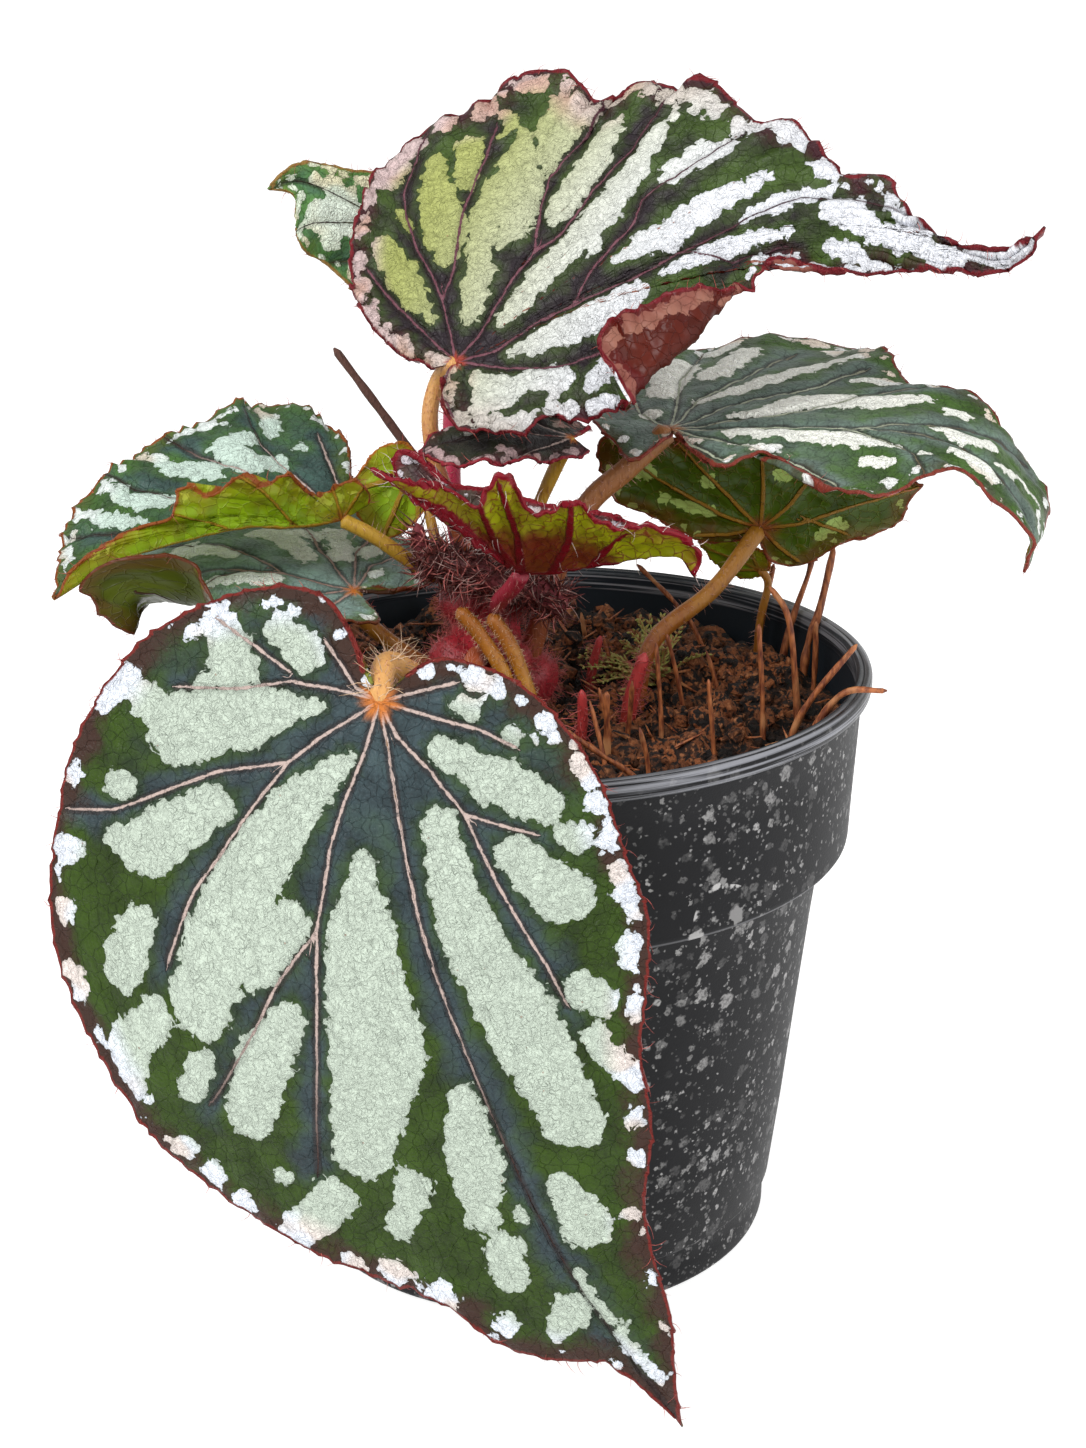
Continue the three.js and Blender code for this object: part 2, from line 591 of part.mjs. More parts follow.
// Soil: fills the pot to a lumpy top strewn with straw, with a plain hole for whatever stands in it
const soilWall = [
  [inner(lipFootRadius) - gap - 0.8, soilLevel],
  [inner(skirtRadius) - gap, skirtHeight + 2.2],
  [inner(wallTopRadius) - gap, skirtHeight + 0.6],
  [inner(stepRadius) - gap, stepHeight + 2.6],
  [inner(baseRadius) - gap, stepHeight + 0.4],
  [inner(baseRadius) - gap, floorThickness + gap],
];
function soilSolid() {
  const draw = seededDraw(7);
  const topRings = 6;
  const sides = potSides;
  const rings = [];
  for (let ring = 1; ring < topRings; ring += 1) rings.push([(soilWall[0][0] * ring) / topRings, soilLevel]);
  rings.push(...soilWall);
  const points = [new THREE.Vector3(0, 0, soilLevel)];
  rings.forEach(([radius, height], ring) => {
    for (let i = 0; i < sides; i += 1) {
      const angle = (2 * Math.PI * i) / sides;
      const lump = ring < topRings - 1 ? 5 * (draw() - 0.45) : 0;
      points.push(new THREE.Vector3(radius * Math.cos(angle), radius * Math.sin(angle), height + lump));
    }
  });
  points.push(new THREE.Vector3(0, 0, floorThickness + gap));
  const index = [];
  const at = (ring, i) => 1 + ring * sides + (i % sides);
  for (let i = 0; i < sides; i += 1) {
    index.push(0, at(0, i), at(0, i + 1));
    for (let ring = 0; ring < rings.length - 1; ring += 1) {
      index.push(at(ring, i), at(ring + 1, i), at(ring + 1, i + 1));
      index.push(at(ring, i), at(ring + 1, i + 1), at(ring, i + 1));
    }
    index.push(points.length - 1, at(rings.length - 1, i + 1), at(rings.length - 1, i));
  }
  const geometry = new THREE.BufferGeometry().setFromPoints(points);
  geometry.setIndex(index);
  return solidOf(geometry);
}

function strawSolid(draw) {
  const length = 14 + 14 * draw();
  const straw = new THREE.CylinderGeometry(0.6, 0.6, length, 4);
  straw.rotateX((70 + 18 * draw()) * radians);
  straw.rotateZ(2 * Math.PI * draw());
  const angle = 2 * Math.PI * draw();
  const radius = 22 + 26 * draw();
  straw.translate(radius * Math.cos(angle), radius * Math.sin(angle), soilLevel + 1.4);
  return solidOf(straw);
}

const strawCount = 22;
let soil = soilSolid();
const strawDraw = seededDraw(5);
for (let i = 0; i < strawCount; i += 1) soil = soil.add(strawSolid(strawDraw));
for (const { line, radius } of [...dryStems, ...redShoots]) {
  soil = soil.subtract(solidOf(stemGeometry(line, radius + gap, stemSteps, stemSides)));
}
for (const { stalk, stalkRadius } of [leaves.right_small, leaves.right_low]) {
  soil = soil.subtract(solidOf(stemGeometry(stalk, stalkRadius + gap)));
}
soil = soil.subtract(rhizomeClearance).subtract(tuftRootSolid(gap)).subtract(tuft);
addNode('soil', geometryOf(largestPiece(soil)), 'soil');

export default plant;
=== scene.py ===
import math
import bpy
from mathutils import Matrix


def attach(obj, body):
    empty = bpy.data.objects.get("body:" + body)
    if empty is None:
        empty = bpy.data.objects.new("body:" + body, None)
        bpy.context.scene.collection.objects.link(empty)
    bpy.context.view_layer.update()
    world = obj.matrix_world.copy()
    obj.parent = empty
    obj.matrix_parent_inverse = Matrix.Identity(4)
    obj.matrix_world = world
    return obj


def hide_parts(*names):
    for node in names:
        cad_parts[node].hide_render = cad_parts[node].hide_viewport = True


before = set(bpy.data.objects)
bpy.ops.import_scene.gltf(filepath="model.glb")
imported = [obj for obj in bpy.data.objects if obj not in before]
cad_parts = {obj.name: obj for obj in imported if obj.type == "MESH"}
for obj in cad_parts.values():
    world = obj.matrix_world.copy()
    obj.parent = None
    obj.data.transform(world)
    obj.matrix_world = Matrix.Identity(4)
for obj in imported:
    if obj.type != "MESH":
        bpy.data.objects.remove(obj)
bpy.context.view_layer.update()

from types import SimpleNamespace

import bpy
import numpy as np
from mathutils import Matrix, Vector

# Camera: stands in front of the plant and a little above it, looking along +Y. It is aimed at
# the middle of the plant, and its tilt and lens are those that the photograph was taken with.
mm = 0.001
aim = Vector((3.63, 0, 116.45)) * mm
aim_distance = 527.12 * mm
pitch = math.radians(19.96)
roll = math.radians(-1.14)
forward = Vector((0, math.cos(pitch), -math.sin(pitch)))
level_right = Vector((1, 0, 0))
level_up = level_right.cross(forward)
camera_right = level_right * math.cos(roll) + level_up * math.sin(roll)
camera_up = level_up * math.cos(roll) - level_right * math.sin(roll)
camera = bpy.data.objects.new("camera", bpy.data.cameras.new("camera"))
camera.data.lens = 59.67
camera.data.sensor_width = 36
camera.matrix_world = Matrix((camera_right, camera_up, -forward)).transposed().to_4x4()
camera.matrix_world.translation = aim - forward * aim_distance
bpy.context.scene.collection.objects.link(camera)
bpy.context.scene.camera = camera

# Studio: a wide pale floor under an even white sky, with one large soft lamp high on the left
# and a weaker one on the right. Colours are shown as they are, with no film curve.
bpy.context.scene.view_settings.view_transform = "Standard"
sky = bpy.data.worlds.new("sky")
sky.use_nodes = True
sky.node_tree.nodes["Background"].inputs["Color"].default_value = (1, 1, 1, 1)
sky.node_tree.nodes["Background"].inputs["Strength"].default_value = 0.65
bpy.context.scene.world = sky


def soft_lamp(name, place, size, power):
    lamp = bpy.data.objects.new(name, bpy.data.lights.new(name, "AREA"))
    lamp.data.size = size
    lamp.data.energy = power
    lamp.location = place
    lamp.rotation_mode = "QUATERNION"
    lamp.rotation_quaternion = (aim - Vector(place)).to_track_quat("-Z", "Y")
    bpy.context.scene.collection.objects.link(lamp)


soft_lamp("key lamp", (-0.8, -0.9, 1.3), 0.9, 20)
soft_lamp("fill lamp", (1.2, -0.8, 0.8), 1.2, 9)

floor_half = 20
floor_mesh = bpy.data.meshes.new("floor")
floor_corners = [(-1, -1), (1, -1), (1, 1), (-1, 1)]
floor_mesh.from_pydata([(x * floor_half, y * floor_half, 0) for x, y in floor_corners], [], [(0, 1, 2, 3)])
floor = bpy.data.objects.new("floor", floor_mesh)
bpy.context.scene.collection.objects.link(floor)
floor_paint = bpy.data.materials.new("pale floor")
floor_paint.use_nodes = True
floor_surface = floor_paint.node_tree.nodes["Principled BSDF"]
floor_surface.inputs["Base Color"].default_value = (0.6, 0.6, 0.6, 1)
floor_surface.inputs["Roughness"].default_value = 0.9
floor_surface.inputs["Emission Color"].default_value = (1, 1, 1, 1)
floor_surface.inputs["Emission Strength"].default_value = 0.75
floor_mesh.materials.append(floor_paint)


# Pot: a nursery pot moulded in black recycled plastic, with a rolled lip, a skirt under it, a
# tapered wall and a stepped foot with six drain holes. Hard water has left pale spots all over.
class Wiring:
    """Short words for wiring one node tree: a socket is joined, a number or colour is set."""

    def __init__(self, tree):
        self.tree = tree

    def put(self, kind, inputs=(), **settings):
        made = self.tree.nodes.new(kind)
        for name, value in settings.items():
            setattr(made, name, value)
        for name, value in dict(inputs).items():
            if isinstance(value, bpy.types.NodeSocket):
                self.tree.links.new(value, made.inputs[name])
            else:
                made.inputs[name].default_value = value
        return made

    def maths(self, operation, a, b=0.0):
        return self.put("ShaderNodeMath", {0: a, 1: b}, operation=operation).outputs[0]

    def plus(self, value, *others):
        for other in others:
            value = self.maths("ADD", value, other)
        return value

    def minus(self, a, b):
        return self.maths("SUBTRACT", a, b)

    def times(self, value, *others):
        for other in others:
            value = self.maths("MULTIPLY", value, other)
        return value

    def move(self, operation, a, b):
        return self.put("ShaderNodeVectorMath", {0: a, 1: b}, operation=operation).outputs[0]

    def length(self, vector):
        return self.put("ShaderNodeVectorMath", {0: vector}, operation="LENGTH").outputs["Value"]

    def ramp(self, value, low, high, start=0.0, end=1.0):
        sockets = {"Value": value, "From Min": low, "From Max": high, "To Min": start, "To Max": end}
        return self.put("ShaderNodeMapRange", sockets, interpolation_type="SMOOTHSTEP").outputs[0]

    def mix(self, share, a, b, blend="MIX"):
        made = self.put("ShaderNodeMix", {0: share, 6: a, 7: b}, data_type="RGBA", blend_type=blend)
        return made.outputs[2]

    def noise(self, vector, scale, detail=2.0):
        return self.put("ShaderNodeTexNoise", {"Vector": vector, "Scale": scale, "Detail": detail})

    def cells(self, vector, scale, feature="F1"):
        return self.put("ShaderNodeTexVoronoi", {"Vector": vector, "Scale": scale}, feature=feature)

    def wander(self, vector, scale, reach):
        """The vector, pushed about by up to half of reach."""
        push = self.move("SUBTRACT", self.noise(vector, scale).outputs[1], (0.5, 0.5, 0.5))
        return self.move("ADD", vector, self.move("MULTIPLY", push, (reach, reach, reach)))

    def attribute(self, name, output="Fac"):
        return self.put("ShaderNodeAttribute", attribute_name=name).outputs[output]

    def place(self):
        """Object coordinates in millimetres."""
        made = self.put("ShaderNodeTexCoord").outputs["Object"]
        return self.move("MULTIPLY", made, (1000, 1000, 1000))


def paint(code):
    """A colour written as six hexadecimal digits, as linear red, green, blue and 1."""
    parts = [int(code[i:i + 2], 16) / 255 for i in (0, 2, 4)]
    return [c / 12.92 if c <= 0.04045 else ((c + 0.055) / 1.055) ** 2.4 for c in parts] + [1.0]


def new_material(name):
    material = bpy.data.materials.new(name)
    material.use_nodes = True
    return material, Wiring(material.node_tree), material.node_tree.nodes["Principled BSDF"]


def finish_surface(wiring, surface, colour, height, roughness):
    """Joins a colour, a relief in millimetres and a roughness to the surface shader."""
    relief = wiring.put("ShaderNodeBump", {"Height": height, "Strength": 1.0, "Distance": mm})
    wiring.tree.links.new(relief.outputs[0], surface.inputs["Normal"])
    for name, value in (("Base Color", colour), ("Roughness", roughness)):
        if isinstance(value, bpy.types.NodeSocket):
            wiring.tree.links.new(value, surface.inputs[name])
        else:
            surface.inputs[name].default_value = value


def mesh_of(name, points, faces, attributes=()):
    """A mesh from points in millimetres, with its point attributes."""
    mesh = bpy.data.meshes.new(name)
    mesh.from_pydata((np.asarray(points) * mm).tolist(), [], [tuple(face) for face in faces])
    for key, values in dict(attributes).items():
        values = np.asarray(values, np.float32)
        kind, field = ("FLOAT", "value") if values.ndim == 1 else ("FLOAT_VECTOR", "vector")
        mesh.attributes.new(key, kind, "POINT").data.foreach_set(field, values.ravel())
    mesh.shade_smooth()
    return mesh


def add_piece(name, mesh, material, slot, *nodes):
    """Links a finished mesh as a piece that rides with the plant and stands for CAD nodes."""
    piece = bpy.data.objects.new(name, mesh)
    if material:
        mesh.materials.clear()
        mesh.materials.append(material)
    bpy.context.scene.collection.objects.link(piece)
    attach(piece, "root")
    if nodes:
        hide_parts(*nodes)


def applied(piece):
    """The mesh of an object with its modifiers carried out. The object itself is removed."""
    bpy.context.view_layer.update()
    seen = piece.evaluated_get(bpy.context.evaluated_depsgraph_get())
    mesh = bpy.data.meshes.new_from_object(seen)
    bpy.data.objects.remove(piece)
    return mesh


def lathe(profile, sides):
    """Points and faces of a profile of (radius, height) turned round +Z, closed at its two ends."""
    points = []
    rings = []
    for radius, height in profile:
        count = sides if radius > 0 else 1
        rings.append([len(points) + i for i in range(count)])
        for i in range(count):
            angle = 2 * math.pi * i / sides
            points.append((radius * math.cos(angle), radius * math.sin(angle), height))
    faces = []
    for low, high in zip(rings, rings[1:]):
        for i in range(sides):
            corners = [low[i % len(low)], low[(i + 1) % sides % len(low)]]
            corners += [high[(i + 1) % sides % len(high)], high[i % len(high)]]
            faces.append(list(dict.fromkeys(corners)))
    return points, faces


rim_radius = 75
rim_height = 131
lip_foot = 126.8
lip_foot_radius = 73
skirt_height = 93.5
skirt_radius = 70.5
wall_top_radius = 65
step_height = 10
step_radius = 54.3
base_radius = 52.8
wall = 1.5
floor_thickness = 2.5
pot_sides = 160
outer_profile = [
    (0, 0), (base_radius - 14, 0), (base_radius - 1, 0), (base_radius - 0.3, 0.4), (base_radius, 1.2),
    (base_radius + 0.1, 5), (base_radius + 0.2, step_height - 0.9), (base_radius + 0.6, step_height - 0.3),
    (step_radius - 0.4, step_height), (step_radius, step_height + 0.7),
    (57, 30), (60, 54), (63, 77), (wall_top_radius, skirt_height - 2.6),
    (wall_top_radius + 0.4, skirt_height - 1.8), (wall_top_radius + 1.2, skirt_height - 1.3),
    (skirt_radius - 1.4, skirt_height - 1), (skirt_radius - 0.5, skirt_height - 0.7),
    (skirt_radius, skirt_height), (skirt_radius + 0.15, skirt_height + 0.9), (71.2, 103), (72.1, 115),
    (lip_foot_radius - 0.1, lip_foot - 0.8), (lip_foot_radius + 0.4, lip_foot - 0.4),
    (rim_radius - 0.7, lip_foot - 0.1), (rim_radius - 0.15, lip_foot + 0.4), (rim_radius, lip_foot + 1.2),
    (rim_radius, rim_height - 1.3), (rim_radius - 0.3, rim_height - 0.5),
    (rim_radius - 0.9, rim_height - 0.05), (rim_radius - 1.4, rim_height - 0.2),
    (rim_radius - 1.75, rim_height - 0.7),
    (rim_radius - 2.1, rim_height - 0.3), (rim_radius - 2.7, rim_height - 0.15),
    (rim_radius - 3.3, rim_height - 0.6), (rim_radius - 3.5, rim_height - 1.4),
]
inner_profile = [
    (lip_foot_radius - wall, lip_foot - 0.6), (skirt_radius - wall, skirt_height + 1.6),
    (skirt_radius - wall - 0.8, skirt_height + 0.7), (wall_top_radius - wall + 0.6, skirt_height),
    (wall_top_radius - wall, skirt_height - 1), (step_radius - wall, step_height + 1.4),
    (base_radius - wall, step_height - 0.4), (base_radius - wall, floor_thickness + 0.6),
    (base_radius - wall - 0.6, floor_thickness), (20, floor_thickness), (0, floor_thickness),
]
skirt_flare = 0.075
# Levels and spreads of the painted highlights along the pot's sharp corners.
edge_highlight_lines = [
    (skirt_height - 0.3, 0.5), (step_height - 0.2, 0.45), (rim_height - 0.4, 0.35), (lip_foot + 0.2, 0.3),
]
spot_kinds = [(4.4, 0.68, (0.08, 0.46), 3), (2.2, 0.5, (0.08, 0.6), 11), (1.0, 0.42, (0.12, 0.5), 29)]
worst_place = (39, -58.7, skirt_height + 3)
drain_holes = 6
drain_radius = 5
drain_circle = 36


def pot_mesh():
    pot = bpy.data.objects.new("pot", mesh_of("pot", *lathe(outer_profile + inner_profile, pot_sides)))
    bpy.context.scene.collection.objects.link(pot)
    plug_points = []
    plug_faces = []
    for i in range(drain_holes):
        angle = 2 * math.pi * (i + 0.5) / drain_holes
        profile = [(0, -5), (drain_radius, -5), (drain_radius, 10), (0, 10)]
        points, faces = lathe(profile, 32)
        middle = (drain_circle * math.cos(angle), drain_circle * math.sin(angle), 0)
        plug_faces += [[corner + len(plug_points) for corner in face] for face in faces]
        plug_points += [np.add(point, middle) for point in points]
    plugs = bpy.data.objects.new("plugs", mesh_of("plugs", plug_points, plug_faces))
    bpy.context.scene.collection.objects.link(plugs)
    cut = pot.modifiers.new("drain holes", "BOOLEAN")
    cut.operation = "DIFFERENCE"
    cut.object = plugs
    mesh = applied(pot)
    bpy.data.objects.remove(plugs)
    mesh.shade_smooth()
    mesh.set_sharp_from_angle(angle=math.radians(50))
    return mesh


def splashes(wiring, place, size, cover, pale, seed):
    """Soft dried drops about size mm across, with a paleness from pale, on a share of the surface."""
    shifted = wiring.move("ADD", wiring.wander(place, 0.8, 1.3 * size**0.5), (seed, seed, seed))
    cells = wiring.cells(shifted, 1 / size)
    draw = wiring.put("ShaderNodeSeparateColor", {0: cells.outputs["Color"]}).outputs
    keep = wiring.ramp(wiring.minus(draw[0], wiring.minus(1.0, cover)), -0.02, 0.02)
    distance = wiring.minus(cells.outputs["Distance"], wiring.times(draw[1], 0.2))
    blob = wiring.ramp(distance, 0.3, 0.16)
    return wiring.times(blob, keep, wiring.ramp(wiring.maths("POWER", draw[2], 2.0), 0, 1, *pale))


def pot_spots(wiring, place, from_left, skirt, lip, inside):
    """The drops of all sizes: fewer on the left of the skirt, faint on the lip, none inside."""
    drift = wiring.plus(from_left, wiring.times(wiring.noise(place, 0.06).outputs[0], 60))
    amount = wiring.mix(skirt, (1, 1, 1, 1), wiring.ramp(drift, 30, 85, 0.3, 1.0))
    amount = wiring.times(amount, wiring.ramp(wiring.noise(place, 0.07, 3).outputs[0], 0.35, 0.6, 0.5, 1))
    spots = 0.0
    for size, cover, pale, seed in spot_kinds:
        drops = splashes(wiring, place, size, wiring.times(amount, cover), pale, seed)
        spots = wiring.maths("MAXIMUM", spots, drops)
    ragged = wiring.ramp(wiring.noise(place, 1.6, 4).outputs[0], 0.3, 0.6, 0.3, 1)
    spots = wiring.times(spots, ragged, wiring.ramp(lip, 0, 1, 1, 0.2), wiring.ramp(inside, 0, 1, 1, 0))
    from_worst = wiring.length(wiring.move("SUBTRACT", place, worst_place))
    crusts = splashes(wiring, place, 5.0, wiring.ramp(from_worst, 11, 5, 0, 0.8), (0.35, 0.75), 41)
    return wiring.maths("MAXIMUM", spots, crusts)


def pot_edge_highlights(wiring, height, inside):
    """Painted highlights: thin paler lines where the plastic turns a sharp corner, on the outside."""
    edge_highlights = 0.0
    for level, spread in edge_highlight_lines:
        near = wiring.maths("ABSOLUTE", wiring.minus(height, level))
        edge_highlights = wiring.maths("MAXIMUM", wiring.ramp(near, spread, 0.0, 0, 0.4), edge_highlights)
    return wiring.times(edge_highlights, wiring.ramp(inside, 0, 1, 1, 0))


def pot_material():
    material, wiring, surface = new_material("speckled black plastic")
    place = wiring.place()
    apart = wiring.put("ShaderNodeSeparateXYZ", {0: place}).outputs
    height = apart["Z"]
    radius = wiring.length(wiring.move("MULTIPLY", place, (1, 1, 0)))
    outer_radius = wiring.plus(wiring.times(wiring.minus(height, skirt_height), skirt_flare), skirt_radius)
    inside = wiring.ramp(wiring.minus(outer_radius, radius), 0.5, 1.0)
    inside = wiring.times(inside, wiring.ramp(height, 108, 112))
    skirt = wiring.ramp(height, skirt_height - 1, skirt_height)
    lip = wiring.ramp(height, lip_foot - 1.0, lip_foot)
    spots = pot_spots(wiring, place, apart["X"], skirt, lip, inside)
    turn = wiring.maths("ARCTAN2", apart["Y"], apart["X"])
    round_place = wiring.put("ShaderNodeCombineXYZ", {"X": turn, "Y": height}).outputs[0]
    scratch = wiring.noise(round_place, 1.3, 3).outputs[0]
    # Painted highlight: the lip is paled in streaks along its scratches, where its gloss catches the light.
    lip_sheen = wiring.times(wiring.ramp(scratch, 0.45, 0.62), lip)
    colour = wiring.mix(wiring.noise(place, 0.12, 4).outputs[0], paint("0c0c0e"), paint("18181b"))
    colour = wiring.mix(inside, colour, paint("20262c"))
    colour = wiring.mix(lip_sheen, colour, paint("85868c"))
    # Painted highlight along the sharp corners of the plastic.
    colour = wiring.mix(pot_edge_highlights(wiring, height, inside), colour, paint("8a8a8e"))
    colour = wiring.mix(wiring.times(spots, 0.95), colour, paint("cfcdcc"))
    grain = wiring.noise(place, 2.2, 3).outputs[0]
    relief = wiring.plus(
        wiring.times(spots, 0.05), wiring.times(grain, 0.05), wiring.times(scratch, lip, 0.25)
    )
    finish_surface(wiring, surface, colour, relief, wiring.ramp(lip, 0, 1, 0.5, 0.28))
    surface.inputs["Specular IOR Level"].default_value = 0.15
    return material


add_piece("pot_body", pot_mesh(), pot_material(), "pot", "pot")


# Soil: dark peaty compost that fills the pot to just below the lip, in crumbs and clods, with
# dry conifer needles and bits of straw trodden into it.
soil_level = 117
gap = 0.3


def seeded_draw(seed):
    """The part's own draw, so that what it scatters in the CAD is found again here."""
    state = seed
    while True:
        state = (state * 1664525 + 1013904223) % 4294967296
        yield state / 4294967296


def value_noise(points, size, seed):
    """Smooth noise from 0 to 1 at points in millimetres, with lumps about size across."""
    cell = np.asarray(points, float) / size
    low = np.floor(cell).astype(np.int64)
    share = cell - low
    share = share * share * (3 - 2 * share)
    total = np.zeros(len(cell))
    for corner in np.ndindex(*(2,) * cell.shape[1]):
        place = low + np.array(corner)
        mixed = np.full(len(cell), seed * 7919 + 17, np.int64)
        for axis, prime in zip(range(cell.shape[1]), (73856093, 19349663, 83492791)):
            mixed = mixed ^ (place[:, axis] * prime)
        mixed = (mixed * 1103515245 + 12345) % 2147483648
        mixed = ((mixed >> 9) * 1597 + 51749) % 244944
        weight = np.prod(np.where(np.array(corner) == 1, share, 1 - share), axis=1)
        total += weight * mixed / 244944
    return total


def step_between(value, low, high):
    share = np.clip((value - low) / (high - low), 0, 1)
    return share * share * (3 - 2 * share)


def unit(vectors):
    return vectors / np.maximum(np.linalg.norm(vectors, axis=-1, keepdims=True), 1e-9)


def smooth_line(points, count, extend=True):
    """A Catmull-Rom line through the points, as in the part's source."""
    points = np.asarray(points, float)
    last = len(points) - 1
    u = np.linspace(0, last, count)
    i = np.minimum(u.astype(int), last - 1)
    t = (u - i)[:, None]
    before = 2 * points[0] - points[1] if extend else points[0]
    after = 2 * points[-1] - points[-2] if extend else points[-1]
    held = np.concatenate([[before], points, [after]])
    p0, p1, p2, p3 = (held[i + k] for k in range(4))
    bend = (2 * p0 - 5 * p1 + 4 * p2 - p3) * t**2 + (3 * p1 - p0 - 3 * p2 + p3) * t**3
    return 0.5 * (2 * p1 + (p2 - p0) * t + bend)


def spaced(line, count):
    """count points at even distances along a line."""
    reach = np.concatenate([[0], np.cumsum(np.linalg.norm(np.diff(line, axis=0), axis=1))])
    steps = np.linspace(0, reach[-1], count)
    return np.stack([np.interp(steps, reach, line[:, k]) for k in range(line.shape[1])], -1)


def join_shapes(shapes):
    """Several (points, faces, attributes) as one."""
    points = []
    faces = []
    attributes = {}
    for shape_points, shape_faces, shape_attributes in shapes:
        faces += [[corner + len(points) for corner in face] for face in shape_faces]
        points += list(shape_points)
        for key, values in shape_attributes.items():
            attributes.setdefault(key, []).append(np.asarray(values, float))
    return points, faces, {key: np.concatenate(values) for key, values in attributes.items()}


def tube(points, radius, steps, sides, hair=0.0, taper=1.0, lumps=0.0, seed=1):
    """A round stem along a smooth line, with rounded ends, as (points, faces, attributes)."""
    line = spaced(smooth_line(points, 12 * len(points)), steps)
    ahead = unit(np.gradient(line, axis=0))
    side = unit(np.cross(ahead[0], (0.3, 0.9, 0.4)))
    reach = np.linalg.norm(np.diff(line, axis=0), axis=1).sum()
    share = np.linspace(0, 1, steps)
    widths = radius * (1 + (taper - 1) * share)
    cap = 0.35 * radius
    from_end = np.minimum(share, 1 - share) * reach
    widths = widths * np.sqrt(np.clip(1 - (1 - np.clip(from_end / cap, 0, 1)) ** 2, 0.1, 1))
    widths = widths * (1 + lumps * (value_noise(line, 2.5 * radius + 1, seed) - 0.5))
    rings = []
    outward = []
    for k in range(steps):
        side = unit(side - ahead[k] * np.dot(side, ahead[k]))
        other = np.cross(ahead[k], side)
        angles = 2 * np.pi * np.arange(sides) / sides
        spoke = np.cos(angles)[:, None] * side + np.sin(angles)[:, None] * other
        outward.append(spoke)
        rings.append(line[k] + spoke * widths[k])
    ends = [line[:1] - ahead[:1] * 0.1 * radius, line[-1:] + ahead[-1:] * 0.1 * radius]
    grid = np.concatenate(rings + ends)
    faces = []
    for k in range(steps - 1):
        for i in range(sides):
            j = (i + 1) % sides
            faces.append((k * sides + i, k * sides + j, (k + 1) * sides + j, (k + 1) * sides + i))
    for i in range(sides):
        j = (i + 1) % sides
        faces.append((steps * sides, j, i))
        faces.append((steps * sides + 1, (steps - 1) * sides + i, (steps - 1) * sides + j))
    along = np.concatenate([np.repeat(share, sides), [0, 1]])
    attributes = {
        "along": along,
        "hair": np.full(len(grid), hair),
        "grow": np.concatenate(outward + [-ahead[:1], ahead[-1:]]),
    }
    return grid, faces, attributes


dry_stems = [
    (0.9, [(54, 40, 104), (55, 41, 124), (58, 41, 140)]),
    (0.9, [(60, -3, 104), (59, -2, 122), (57, -2, 140), (53, 0, 147)]),
    (0.8, [(64, 16, 104), (65, 16, 122), (65, 15, 134)]),
    (1.0, [(62, 22, 104), (64, 24, 124), (67, 25, 134), (70, 26, 148)]),
    (0.9, [(58, 30, 104), (60, 31, 124), (65, 32, 140), (66, 33, 145)]),
    (0.8, [(54, -20, 106), (56, -21, 120), (60, -22, 129), (69, -23, 141)]),
    (0.9, [(55, -27, 106), (58, -28, 120), (65, -30, 132.4), (74, -33, 134.2)]),
    (0.7, [(51, -10, 106), (51, -9, 122), (50, -8, 141)]),
    (0.6, [(40, -26, 106), (39, -26, 122), (38, -26, 135)]),
    (0.6, [(29, -10, 106), (29, -10, 122), (28, -10, 138)]),
    (0.6, [(36, 4, 106), (34, 3, 122), (31, 2, 136)]),
    (0.7, [(45, 36, 106), (41, 36, 122), (36, 36, 131), (26, 36, 142)]),
    (0.9, [(17, -22, 106), (17, -23, 120), (17, -24, 132)]),
    (0.7, [(27, -38, 110), (22, -40, 119), (15, -42, 125), (8, -44, 131)]),
]
soil_rise = 4.5
soil_rise_reach = 45
clod_kinds = [(7, 11, 1), (6.5, 4.6, 2), (2.6, 1.9, 3)]


def soil_shape():
    """The whole fill of the pot: a clodded top on a plain plug that fits the inside of the wall."""
    sides = 150
    rings = 58
    top_radius = lip_foot_radius - wall - gap - 0.8
    angles = 2 * np.pi * np.arange(sides) / sides
    points = [[0, 0, soil_level]]
    for ring in range(1, rings + 1):
        radius = top_radius * ring / rings
        points += [[radius * math.cos(a), radius * math.sin(a), soil_level] for a in angles]
    points = np.array(points, float)
    flat = points[:, :2]
    rise = soil_rise * np.clip(flat[:, 1] / soil_rise_reach, 0, 1)
    clods = sum(tall * (value_noise(flat, size, seed) - 0.5) for tall, size, seed in clod_kinds)
    inside = np.clip((top_radius - np.linalg.norm(flat, axis=1)) / 4, 0, 1)
    points[:, 2] += (clods + rise) * inside
    plug = [
        (skirt_radius - wall - gap, skirt_height + 2.2), (wall_top_radius - wall - gap, skirt_height + 0.6),
        (step_radius - wall - gap, step_height + 2.6), (base_radius - wall - gap, step_height + 0.4),
        (base_radius - wall - gap, floor_thickness + gap),
    ]
    for radius, height in plug:
        below = [[radius * math.cos(a), radius * math.sin(a), height] for a in angles]
        points = np.concatenate([points, below])
    points = np.concatenate([points, [[0, 0, floor_thickness + gap]]])
    faces = []
    levels = rings + len(plug)
    for i in range(sides):
        j = (i + 1) % sides
        faces.append((0, 1 + i, 1 + j))
        for level in range(levels - 1):
            low = 1 + level * sides
            faces.append((low + i, low + sides + i, low + sides + j, low + j))
        low = 1 + (levels - 1) * sides
        faces.append((low + i, len(points) - 1, low + j))
    on_top = np.arange(len(points)) <= rings * sides
    hair = (np.hypot(points[:, 0], points[:, 1]) < top_radius - 7) & on_top
    grow = np.tile([0.0, 0.0, 1.0], (len(points), 1))
    # Painted shade: the hollows between the clods are darkened in the soil's colour.
    pit_shade = np.zeros(len(points))
    pit_shade[:len(clods)] = step_between(-clods, -1.0, 2.5) * inside
    return points, faces, {"hair": hair, "grow": grow, "along": np.zeros(len(points)), "pit_shade": pit_shade}


